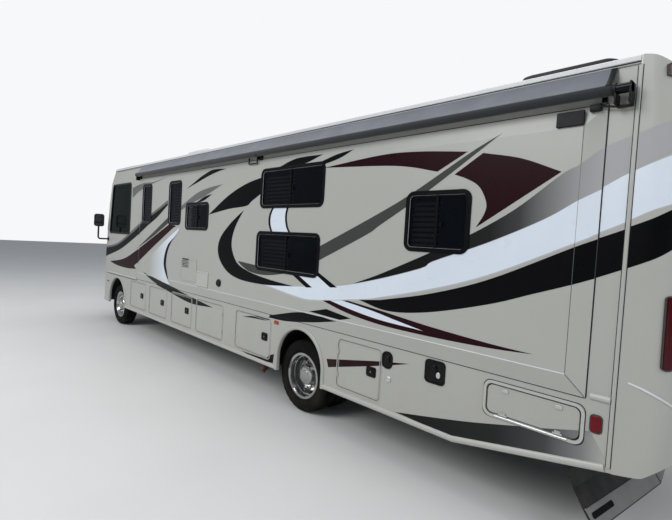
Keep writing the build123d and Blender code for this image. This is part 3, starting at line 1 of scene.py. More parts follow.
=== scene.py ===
# Looks for the motorhome: finishes, stripes, trim, glass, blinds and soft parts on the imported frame.
# Metres, +X forward, +Y left, +Z up. Stripe outlines are measured in pixels of the 672 x 520 picture.
import json
import math

import bmesh
import bpy
from mathutils import Matrix, Vector
from mathutils.bvhtree import BVHTree
from mathutils.geometry import barycentric_transform, delaunay_2d_cdt


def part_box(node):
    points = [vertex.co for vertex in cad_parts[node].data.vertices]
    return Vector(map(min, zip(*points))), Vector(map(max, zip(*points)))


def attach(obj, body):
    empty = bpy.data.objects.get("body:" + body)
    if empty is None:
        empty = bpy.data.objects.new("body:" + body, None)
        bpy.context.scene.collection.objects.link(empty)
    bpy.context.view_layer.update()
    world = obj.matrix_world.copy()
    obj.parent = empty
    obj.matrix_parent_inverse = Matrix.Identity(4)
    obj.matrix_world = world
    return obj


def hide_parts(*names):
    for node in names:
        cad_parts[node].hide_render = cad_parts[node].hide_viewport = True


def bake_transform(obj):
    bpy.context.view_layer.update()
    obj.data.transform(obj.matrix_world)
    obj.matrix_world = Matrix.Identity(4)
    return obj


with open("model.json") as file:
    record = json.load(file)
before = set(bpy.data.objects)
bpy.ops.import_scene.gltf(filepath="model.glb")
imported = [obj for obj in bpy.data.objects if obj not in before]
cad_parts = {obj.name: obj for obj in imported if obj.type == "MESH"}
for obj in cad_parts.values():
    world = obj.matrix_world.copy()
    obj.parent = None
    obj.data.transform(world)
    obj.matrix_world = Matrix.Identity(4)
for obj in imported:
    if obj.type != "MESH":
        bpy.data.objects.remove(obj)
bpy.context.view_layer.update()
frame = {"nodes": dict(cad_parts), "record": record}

# Camera, fitted to the straight edges of the vehicle
IMAGE_WIDE = 672
IMAGE_TALL = 520
SENSOR_MM = 36.0
FOCAL_PX = 456.76
CAMERA_AT = Vector((-5.798, 4.592, 1.998))
CAMERA_YAW = math.radians(46.456)
CAMERA_PITCH = math.radians(-2.199)
CAMERA_ROLL = math.radians(3.385)


def camera_axes():
    """Right, up and forward of the camera."""
    forward = Vector((math.sin(CAMERA_YAW) * math.cos(CAMERA_PITCH),
                      -math.cos(CAMERA_YAW) * math.cos(CAMERA_PITCH), math.sin(CAMERA_PITCH)))
    level = forward.cross(Vector((0, 0, 1))).normalized()
    over = level.cross(forward)
    right = math.cos(CAMERA_ROLL) * level + math.sin(CAMERA_ROLL) * over
    up = right.cross(forward)
    return right, up, forward


def add_camera():
    """The camera at the photograph's viewpoint."""
    right, up, forward = camera_axes()
    data = bpy.data.cameras.new("camera")
    data.sensor_width = SENSOR_MM
    data.lens = FOCAL_PX / IMAGE_WIDE * SENSOR_MM
    data.clip_end = 200
    eye = bpy.data.objects.new("camera", data)
    turn = Matrix((right, up, -forward)).transposed()
    eye.matrix_world = Matrix.Translation(CAMERA_AT) @ turn.to_4x4()
    bpy.context.collection.objects.link(eye)
    bpy.context.scene.camera = eye


def sight_line(u, v):
    """The direction of the sight line through a pixel."""
    right, up, forward = camera_axes()
    return forward + right * (u - IMAGE_WIDE / 2) / FOCAL_PX + up * (IMAGE_TALL / 2 - v) / FOCAL_PX


def seen_on_side(u, v, y):
    """Where the sight line through a pixel meets the upright plane at y, as x and z."""
    ray = sight_line(u, v)
    reach = (y - CAMERA_AT.y) / ray.y
    spot = CAMERA_AT + ray * reach
    return spot.x, spot.z


# Materials
def shader(name):
    """A new material with its node tree, shader and object coordinates."""
    made = bpy.data.materials.new(name)
    made.use_nodes = True
    tree = made.node_tree
    body = tree.nodes["Principled BSDF"]
    place = tree.nodes.new("ShaderNodeTexCoord")
    return made, tree, body, place.outputs["Object"]


def noise(tree, where, scale, detail=4.0):
    """A noise texture's value in object space."""
    texture = tree.nodes.new("ShaderNodeTexNoise")
    texture.inputs["Scale"].default_value = scale
    texture.inputs["Detail"].default_value = detail
    tree.links.new(where, texture.inputs["Vector"])
    return texture.outputs["Fac"]


def ramp(tree, value, stops):
    """A colour ramp of place and colour stops."""
    node = tree.nodes.new("ShaderNodeValToRGB")
    while len(node.color_ramp.elements) < len(stops):
        node.color_ramp.elements.new(0.5)
    for element, (place, colour) in zip(node.color_ramp.elements, stops):
        element.position = place
        element.color = (*colour, 1)
    tree.links.new(value, node.inputs["Fac"])
    return node.outputs["Color"]


def span(tree, value, low, high, out_low=0.0, out_high=1.0):
    """A value mapped from one range to another, clamped."""
    node = tree.nodes.new("ShaderNodeMapRange")
    node.inputs["From Min"].default_value = low
    node.inputs["From Max"].default_value = high
    node.inputs["To Min"].default_value = out_low
    node.inputs["To Max"].default_value = out_high
    tree.links.new(value, node.inputs["Value"])
    return node.outputs["Result"]


def mix(tree, share, first, second):
    """Two colours mixed by a value. Each is a socket or a colour."""
    node = tree.nodes.new("ShaderNodeMix")
    node.data_type = "RGBA"
    tree.links.new(share, node.inputs["Factor"])
    for socket, colour in ((node.inputs["A"], first), (node.inputs["B"], second)):
        if isinstance(colour, tuple):
            socket.default_value = (*colour, 1)
        else:
            tree.links.new(colour, socket)
    return node.outputs["Result"]


def bump(tree, body, height, strength, distance):
    """Bump from a height value."""
    node = tree.nodes.new("ShaderNodeBump")
    node.inputs["Strength"].default_value = strength
    node.inputs["Distance"].default_value = distance
    tree.links.new(height, node.inputs["Height"])
    tree.links.new(node.outputs["Normal"], body.inputs["Normal"])


def axis_value(tree, where, axis):
    """One coordinate of a place."""
    node = tree.nodes.new("ShaderNodeSeparateXYZ")
    tree.links.new(where, node.inputs["Vector"])
    return node.outputs[axis]


def times(tree, first, second):
    """The product of two values."""
    node = tree.nodes.new("ShaderNodeMath")
    node.operation = "MULTIPLY"
    for socket, value in zip(node.inputs, (first, second)):
        if isinstance(value, float):
            socket.default_value = value
        else:
            tree.links.new(value, socket)
    return node.outputs[0]


def shade(colour, by):
    """A colour made lighter or darker."""
    return tuple(min(1.0, part * by) for part in colour)


DUST = (0.30, 0.27, 0.22)


def finish_of(name, colour, rough, metal=0.0, vary=0.08, vary_scale=2.5, grain=0.15, grain_scale=120.0,
              grain_deep=0.0006, dust=0.0, coat=0.0, shine=0.5):
    """A surface with colour drift, road dust low down, uneven roughness and a fine grain."""
    made, tree, body, where = shader(name)
    drift = noise(tree, where, vary_scale)
    tone = ramp(tree, drift, [(0.25, shade(colour, 1 - vary)), (0.75, shade(colour, 1 + vary))])
    if dust:
        low = span(tree, axis_value(tree, where, "Z"), 1.15, 0.25)
        patchy = times(tree, low, span(tree, noise(tree, where, 6.0, 8.0), 0.3, 0.75))
        tone = mix(tree, times(tree, patchy, dust), tone, DUST)
    tree.links.new(tone, body.inputs["Base Color"])
    tree.links.new(span(tree, noise(tree, where, vary_scale * 5), 0.2, 0.8, rough * 0.85, rough * 1.15),
                   body.inputs["Roughness"])
    body.inputs["Metallic"].default_value = metal
    body.inputs["Coat Weight"].default_value = coat
    body.inputs["Coat Roughness"].default_value = 0.08
    body.inputs["Specular IOR Level"].default_value = shine
    bump(tree, body, noise(tree, where, grain_scale, 3.0), grain, grain_deep)
    return made


GREIGE = (0.365, 0.366, 0.340)
WHITE = (0.60, 0.66, 0.73)
BURGUNDY = (0.0145, 0.0022, 0.0045)
BLACK = (0.0018, 0.0018, 0.0026)
CHARCOAL = (0.050, 0.051, 0.049)

paint = finish_of("body_paint", GREIGE, 0.34, vary=0.015, grain=0.02, grain_deep=0.0002, dust=0.22,
                  shine=0.35)
pale_trim = finish_of("pale_trim", shade(GREIGE, 1.12), 0.34, vary=0.02, grain=0.03, grain_deep=0.0002,
                      dust=0.25)
roof_skin = finish_of("roof_skin", (0.62, 0.62, 0.60), 0.55, grain=0.3)
gloss_black = finish_of("gloss_black", (0.003, 0.003, 0.004), 0.2, vary=0.2, dust=0.05, shine=0.14)
satin_black = finish_of("satin_black", (0.006, 0.006, 0.007), 0.5, vary=0.25, grain=0.2, dust=0.1, shine=0.2)
chassis_black = finish_of("chassis_black", (0.010, 0.010, 0.010), 0.7, vary=0.4, grain=0.4, dust=0.25,
                          shine=0.2)
cast_iron = finish_of("cast_iron", (0.09, 0.08, 0.075), 0.7, metal=0.4, vary=0.4, grain=0.7, grain_scale=60)
tyre_rubber = finish_of("tyre_rubber", (0.0042, 0.0041, 0.0042), 0.85, vary=0.25, grain=0.4, dust=0.05,
                        shine=0.08)
wheel_chrome = finish_of("wheel_chrome", (0.40, 0.40, 0.395), 0.12, metal=1.0, vary=0.05, grain=0.0,
                         grain_deep=0.0001)
chrome = finish_of("chrome", (0.66, 0.66, 0.66), 0.14, metal=1.0, vary=0.03, grain=0.0, grain_deep=0.0001)
steel = finish_of("steel", (0.22, 0.22, 0.22), 0.42, metal=0.9, vary=0.3, grain=0.2, dust=0.3)
aluminium = finish_of("aluminium", (0.55, 0.55, 0.56), 0.36, metal=0.9, vary=0.08, grain=0.1)
dark_plastic = finish_of("dark_plastic", (0.030, 0.028, 0.026), 0.6, vary=0.15, grain=0.6, grain_scale=300)
shroud_grey = finish_of("shroud_grey", (0.016, 0.017, 0.018), 0.55, vary=0.15, grain=0.3, shine=0.3)
shroud_pale = finish_of("shroud_pale", (0.55, 0.55, 0.53), 0.5, vary=0.08, grain=0.4)
# Pale metal for white trim, also used for painted highlight beads on the slide's lower crease and the rear
# cap's crease.
white_metal = finish_of("white_metal", (0.55, 0.56, 0.57), 0.4, vary=0.04, grain=0.05)
silver_line = finish_of("silver_line", (0.42, 0.44, 0.46), 0.4, metal=0.3, vary=0.05, grain=0.05)


def decal(name, colour, rough=0.3, shine=0.07):
    """Vinyl film of one colour."""
    return finish_of(name, colour, rough, vary=0.03, grain=0.01, grain_deep=0.0001, dust=0.1, shine=shine)


def fading_decal(name, stops):
    """Film that fades along the vehicle, through stops of place along X and colour or grey level."""
    made, tree, body, where = shader(name)
    first, last = stops[0][0], stops[-1][0]
    along = span(tree, axis_value(tree, where, "X"), first, last)
    tones = [((x - first) / (last - first), tone if isinstance(tone, tuple) else (tone, tone, tone * 1.02))
             for x, tone in stops]
    tree.links.new(ramp(tree, along, tones), body.inputs["Base Color"])
    tree.links.new(span(tree, noise(tree, where, 9.0), 0.2, 0.8, 0.28, 0.34), body.inputs["Roughness"])
    body.inputs["Specular IOR Level"].default_value = 0.1
    return made


FADE_WHITE_X = 1.8
FADE_PAINT_X = 2.6
film = {
    "white": decal("film_white", WHITE, shine=0.4),
    "black": decal("film_black", BLACK),
    "burgundy": decal("film_burgundy", BURGUNDY),
    "charcoal": decal("film_charcoal", CHARCOAL),
    "grey": decal("film_grey", (0.13, 0.13, 0.125)),
    "silver": decal("film_silver", (0.40, 0.42, 0.44), shine=0.4),
    "sweep": fading_decal("film_sweep", [(-1.0, 0.003), (-3.5, 0.006), (-4.05, 0.013), (-4.28, 0.045),
                                         (-4.48, 0.16), (-4.67, 0.28), (-4.80, 0.34)]),
    "tail": fading_decal("film_tail", [(-2.9, 0.003), (-4.2, 0.018), (-4.56, 0.055), (-4.8, 0.19),
                                       (-4.93, shade(GREIGE, 0.96))]),
    "pale": fading_decal("film_pale", [(FADE_WHITE_X, WHITE), (FADE_PAINT_X, GREIGE)]),
}


def planks(name, colour, dark, board, rough):
    """Boards along the vehicle with a fine grain and dark joints."""
    made, tree, body, where = shader(name)
    stretched = tree.nodes.new("ShaderNodeMapping")
    stretched.inputs["Scale"].default_value = (1.5, 14.0, 14.0)
    tree.links.new(where, stretched.inputs["Vector"])
    grain = noise(tree, stretched.outputs["Vector"], 3.0, 8.0)
    tone = ramp(tree, grain, [(0.25, shade(colour, 0.75)), (0.55, colour), (0.8, shade(colour, 1.2))])
    joints = tree.nodes.new("ShaderNodeTexWave")
    joints.bands_direction = "Y"
    joints.inputs["Scale"].default_value = 1 / board
    tree.links.new(where, joints.inputs["Vector"])
    line = span(tree, joints.outputs["Fac"], 0.0, 0.02, 1.0, 0.0)
    tree.links.new(mix(tree, line, tone, dark), body.inputs["Base Color"])
    tree.links.new(span(tree, grain, 0.2, 0.8, rough * 0.8, rough * 1.2), body.inputs["Roughness"])
    bump(tree, body, grain, 0.2, 0.0008)
    return made


def woven(name, colour, rough, thread, deep):
    """Cloth with a fine weave, colour drift and faint streaks."""
    made, tree, body, where = shader(name)
    drift = noise(tree, where, 4.0, 5.0)
    tone = ramp(tree, drift, [(0.3, shade(colour, 0.86)), (0.7, shade(colour, 1.12))])
    tree.links.new(tone, body.inputs["Base Color"])
    body.inputs["Roughness"].default_value = rough
    body.inputs["Sheen Weight"].default_value = 0.2
    threads = []
    for direction in ("X", "Y"):
        wave = tree.nodes.new("ShaderNodeTexWave")
        wave.bands_direction = direction
        wave.inputs["Scale"].default_value = thread
        wave.inputs["Distortion"].default_value = 0.6
        tree.links.new(where, wave.inputs["Vector"])
        threads.append(wave.outputs["Fac"])
    bump(tree, body, times(tree, threads[0], threads[1]), 0.35, deep)
    return made


def pane(name, colour, clear, shine=0.08, rough=0.04):
    """Tinted glass that lets some of what is behind it show."""
    made, tree, body, where = shader(name)
    smudge = noise(tree, where, 3.0, 6.0)
    tree.links.new(ramp(tree, smudge, [(0.3, shade(colour, 0.9)), (0.7, shade(colour, 1.1))]),
                   body.inputs["Base Color"])
    tree.links.new(span(tree, smudge, 0.3, 0.8, rough, rough * 2.5), body.inputs["Roughness"])
    body.inputs["Alpha"].default_value = 1 - clear
    body.inputs["Specular IOR Level"].default_value = shine
    return made


def lens(name, colour, ribs, rough=0.12):
    """A moulded lamp lens with fine upright ribs."""
    made, tree, body, where = shader(name)
    tone = ramp(tree, noise(tree, where, 14.0), [(0.3, shade(colour, 0.85)), (0.7, shade(colour, 1.1))])
    tree.links.new(tone, body.inputs["Base Color"])
    body.inputs["Roughness"].default_value = rough
    body.inputs["Specular IOR Level"].default_value = 0.2
    wave = tree.nodes.new("ShaderNodeTexWave")
    wave.bands_direction = "Y"
    wave.inputs["Scale"].default_value = ribs
    tree.links.new(where, wave.inputs["Vector"])
    bump(tree, body, wave.outputs["Fac"], 0.5, 0.002)
    return made


floor_wood = planks("floor_wood", (0.16, 0.10, 0.06), (0.03, 0.02, 0.01), 0.15, 0.4)
cabinet_wood = planks("cabinet_wood", (0.15, 0.07, 0.035), (0.05, 0.02, 0.01), 0.60, 0.32)
topper_cloth = woven("topper_cloth", (0.118, 0.130, 0.152), 0.85, 90.0, 0.0005)
# Near-black cloth for the wound roll, far darker than the topper cloth: painted shade for the shadowed
# underside of the roll.
roll_cloth = woven("roll_cloth", (0.012, 0.013, 0.016), 0.9, 90.0, 0.0005)
seat_cloth = woven("seat_cloth", (0.20, 0.165, 0.13), 0.9, 70.0, 0.0012)
dark_glass = pane("dark_glass", (0.0028, 0.004, 0.006), 0.34)
clear_glass = pane("clear_glass", (0.012, 0.017, 0.015), 0.50)
cab_glass = pane("cab_glass", (0.0030, 0.0050, 0.0045), 0.02, 0.02)
clear_lens = lens("clear_lens", (0.55, 0.57, 0.58), 12.0, 0.08)
red_lens = lens("red_lens", (0.050, 0.0020, 0.004), 30.0)
side_red = lens("side_red", (0.120, 0.002, 0.006), 30.0)
amber_lens = lens("amber_lens", (0.34, 0.045, 0.008), 40.0)
blind_grey = finish_of("blind_grey", (0.42, 0.43, 0.44), 0.5, vary=0.1, grain=0.2, shine=0.2)
shade_black = finish_of("shade_black", (0.006, 0.006, 0.006), 0.9, vary=0.3, grain=0.3, shine=0.1)
rusty_pipe = finish_of("rusty_pipe", (0.10, 0.055, 0.045), 0.6, metal=0.5, vary=0.4, grain=0.5)
shroud_dark = finish_of("shroud_dark", (0.020, 0.021, 0.022), 0.6, vary=0.15, grain=0.3, grain_scale=200,
                        shine=0.2)


# Mesh building
SHARP = math.radians(32)


def loft(rings, wrap=False, caps=True):
    """Rings of points joined into a skin."""
    built = bmesh.new()
    rows = [[built.verts.new(point) for point in ring] for ring in rings]
    count = len(rings[0])
    pairs = list(zip(rows, rows[1:]))
    if wrap:
        pairs.append((rows[-1], rows[0]))
    for first, second in pairs:
        for index in range(count):
            after = (index + 1) % count
            built.faces.new((first[index], first[after], second[after], second[index]))
    if caps and not wrap:
        built.faces.new(rows[0][::-1])
        built.faces.new(rows[-1])
    return built


def merge(target, source, finish=0):
    """Adds one mesh under construction to another, with a finish number."""
    for face in source.faces:
        face.material_index = finish
    spare = bpy.data.meshes.new("spare")
    bmesh.ops.recalc_face_normals(source, faces=source.faces)
    source.to_mesh(spare)
    source.free()
    target.from_mesh(spare)
    bpy.data.meshes.remove(spare)


def object_of(name, built, finishes):
    """An object from a mesh under construction."""
    mesh = bpy.data.meshes.new(name)
    built.to_mesh(mesh)
    built.free()
    for each in finishes:
        mesh.materials.append(each)
    made = bpy.data.objects.new(name, mesh)
    bpy.context.collection.objects.link(made)
    return made


def piece(name, built, finishes, body):
    """A smooth-shaded object with its sharp edges kept, riding on a body."""
    for face in built.faces:
        face.smooth = True
    for edge in built.edges:
        edge.smooth = len(edge.link_faces) == 2 and edge.calc_face_angle(0.0) < SHARP
    made = object_of(name, built, finishes)
    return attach(made, body)


def made_of(name, parts, finishes, body):
    """An object of several parts, each with the number of its finish."""
    built = bmesh.new()
    for source, finish in parts:
        merge(built, source, finish)
    return piece(name, built, finishes, body)


def single(name, source, finish, body):
    """One part in one finish as an object."""
    return made_of(name, [(source, 0)], [finish], body)


def rounded_block(low, high, radius, steps=2):
    """A box with rounded edges."""
    built = bmesh.new()
    bmesh.ops.create_cube(built, size=1)
    for vert in built.verts:
        vert.co = Vector([a + (b - a) * (c + 0.5) for a, b, c in zip(low, high, vert.co)])
    bmesh.ops.bevel(built, geom=list(built.edges), offset=radius, segments=steps, profile=0.5, affect="EDGES")
    return built


def rect_loop(a, b, wide, tall, corner, steps=5):
    """A rounded rectangle as points of a and b."""
    points = []
    for sign_a, sign_b, start in ((1, 1, 0), (-1, 1, 90), (-1, -1, 180), (1, -1, 270)):
        for step in range(steps + 1):
            angle = math.radians(start + 90 * step / steps)
            points.append((a + sign_a * (wide / 2 - corner) + corner * math.cos(angle),
                           b + sign_b * (tall / 2 - corner) + corner * math.sin(angle)))
    return points


def on_side(y, side=1):
    """Maps along, up and out onto a side."""
    return lambda a, b, out: Vector((a, side * (y + out), b))


def on_top(z):
    """Maps along, across and out onto the top."""
    return lambda a, b, out: Vector((a, b, z + out))


def stacked(a, b, wide, tall, corner, rows, place, steps=5):
    """A rounded-rectangle feature from rows of inset and height."""
    rings = []
    for inset, out in rows:
        loop = rect_loop(a, b, wide - 2 * inset, tall - 2 * inset, max(0.001, corner - inset), steps)
        rings.append([place(x, z, out) for x, z in loop])
    return loft(rings)


def plates(place, rows):
    """Rounded-rectangle features: centre, width, height, corner, rows of inset and height, finish."""
    return [(stacked(*row[:5], row[5], place), row[6]) for row in rows]


def blocks(rows, finish=0):
    """Rounded boxes in one finish: low corner, high corner and edge radius."""
    return [(rounded_block(*row), finish) for row in rows]


def bead(wide, proud, steps=6, sink=0.0):
    """A half-round section as across and out."""
    points = [(wide / 2 * math.cos(math.pi * k / steps), proud * math.sin(math.pi * k / steps) - sink)
              for k in range(steps + 1)]
    return points


def flat_bar(wide, proud, edge):
    """A flat section with eased edges as across and out."""
    half = wide / 2
    return [(half, 0), (half, proud - edge), (half - edge, proud),
            (edge - half, proud), (-half, proud - edge), (-half, 0)]


def trim(path, section, place, closed=False):
    """A moulding along a path of a and b on a flat surface."""
    points = [Vector(p) for p in path]
    count = len(points)
    rings = []
    for index, point in enumerate(points):
        before = points[index - 1] if index or closed else None
        after = points[(index + 1) % count] if index < count - 1 or closed else None
        ways = [(q - p).normalized() for p, q in ((before, point), (point, after))
                if p is not None and q is not None]
        way = sum(ways, Vector((0, 0))).normalized()
        across = Vector((-way.y, way.x))
        stretch = 1 / max(0.4, way.dot(ways[0]))
        rings.append([place(point.x + across.x * s * stretch, point.y + across.y * s * stretch, out)
                      for s, out in section])
    return loft(rings, wrap=closed)


def run_on_skin(points, normals, section):
    """A moulding along points on a curved skin. The section's across is up when the run goes left."""
    rings = []
    for before, point, after, normal in zip(points[:1] + points, points, points[1:] + points[-1:], normals):
        way = (after - before).normalized()
        across = normal.cross(way).normalized()
        rings.append([point + across * s + normal * out for s, out in section])
    return loft(rings)


def circle(centre, first, second, radius, segments):
    """Points round a centre in the plane of two directions."""
    angles = [2 * math.pi * k / segments for k in range(segments)]
    return [centre + (first * math.cos(angle) + second * math.sin(angle)) * radius for angle in angles]


def rod(start, end, radius, segments=12, ease=0.0):
    """A round bar between two points with eased ends."""
    start, end = Vector(start), Vector(end)
    way = (end - start).normalized()
    first = way.orthogonal().normalized()
    stops = [(start, 0.0), (end, 0.0)]
    if ease:
        stops = [(start, ease), (start + way * ease, 0.0), (end - way * ease, 0.0), (end, ease)]
    return loft([circle(base, first, way.cross(first), radius - shrink, segments) for base, shrink in stops])


def islands(node):
    """The boxes round each separate solid of a CAD node, as low and high corners."""
    mesh = frame["nodes"][node].data
    group = list(range(len(mesh.vertices)))

    def root(index):
        while group[index] != index:
            group[index] = group[group[index]]
            index = group[index]
        return index

    places = {}
    for vertex in mesh.vertices:
        key = tuple(round(c, 5) for c in vertex.co)
        if key in places:
            group[root(vertex.index)] = root(places[key])
        places[key] = vertex.index
    for edge in mesh.edges:
        first, second = edge.vertices
        group[root(first)] = root(second)
    boxes = {}
    for vertex in mesh.vertices:
        low, high = boxes.setdefault(root(vertex.index), (list(vertex.co), list(vertex.co)))
        for axis in range(3):
            low[axis] = min(low[axis], vertex.co[axis])
            high[axis] = max(high[axis], vertex.co[axis])
    return [(Vector(low), Vector(high)) for low, high in boxes.values()]


def skin_tree(*nodes):
    """A ray target made of some CAD nodes."""
    points, faces = [], []
    for node in nodes:
        mesh = frame["nodes"][node].data
        mesh.calc_loop_triangles()
        start = len(points)
        points += [vertex.co.copy() for vertex in mesh.vertices]
        faces += [[start + index for index in triangle.vertices] for triangle in mesh.loop_triangles]
    return BVHTree.FromPolygons(points, faces)


def tube(points, radius, segments=10):
    """A round bar along a path of points, closed at both ends."""
    path = [Vector(point) for point in points]
    ways = [(after - before).normalized() for before, after in zip([path[0]] + path, path[1:] + [path[-1]])
            if (after - before).length > 0]
    first = ways[0].orthogonal().normalized()
    rings = []
    for point, way in zip(path, ways):
        first = (first - way * first.dot(way)).normalized()
        rings.append(circle(point, first, way.cross(first), radius, segments))
    return loft(rings)


def bent(corners, radius, steps=5):
    """A path through corners with rounded bends."""
    known = [Vector(corner) for corner in corners]
    path = [known[0]]
    for before, corner, after in zip(known, known[1:], known[2:]):
        start = corner + (before - corner).normalized() * radius
        end = corner + (after - corner).normalized() * radius
        for step in range(steps + 1):
            t = step / steps
            path.append((1 - t) ** 2 * start + 2 * t * (1 - t) * corner + t * t * end)
    path.append(known[-1])
    return path


def between(start, end, steps):
    """Evenly spaced points of a line."""
    return [tuple(a + (b - a) * k / steps for a, b in zip(start, end)) for k in range(steps + 1)]


def on_skin(tree, toward):
    """Maps across, up and out onto a curved end, found by a ray along the vehicle."""
    def place(a, b, out):
        start = Vector((-toward * 9, a, b))
        spot, normal, _, _ = tree.ray_cast(start, Vector((toward, 0, 0)))
        if spot is None:
            spot, normal, _, _ = tree.find_nearest(Vector((-toward * 5.3, a, b)))
        if normal.x * toward > 0:
            normal = -normal
        return spot + normal * out
    return place


def face_of(node, side=1):
    """The corners, as x and z, of a panel's flat outer face."""
    spots = [v.co for v in frame["nodes"][node].data.vertices if abs(side * v.co.y - WALL_Y) < 0.0005]
    across, up = [s.x for s in spots], [s.z for s in spots]
    return (min(across), min(up)), (max(across), max(up))


def louvres(x, z, wide, tall, pitch, place, blade=0.010, proud=0.008):
    """A row of short bars one above the other."""
    built = bmesh.new()
    count = int(tall / pitch)
    for index in range(count):
        height = z - tall / 2 + (index + 0.5) * tall / count
        merge(built, trim([(x - wide / 2, height), (x + wide / 2, height)], bead(blade, proud, 4), place))
    return built


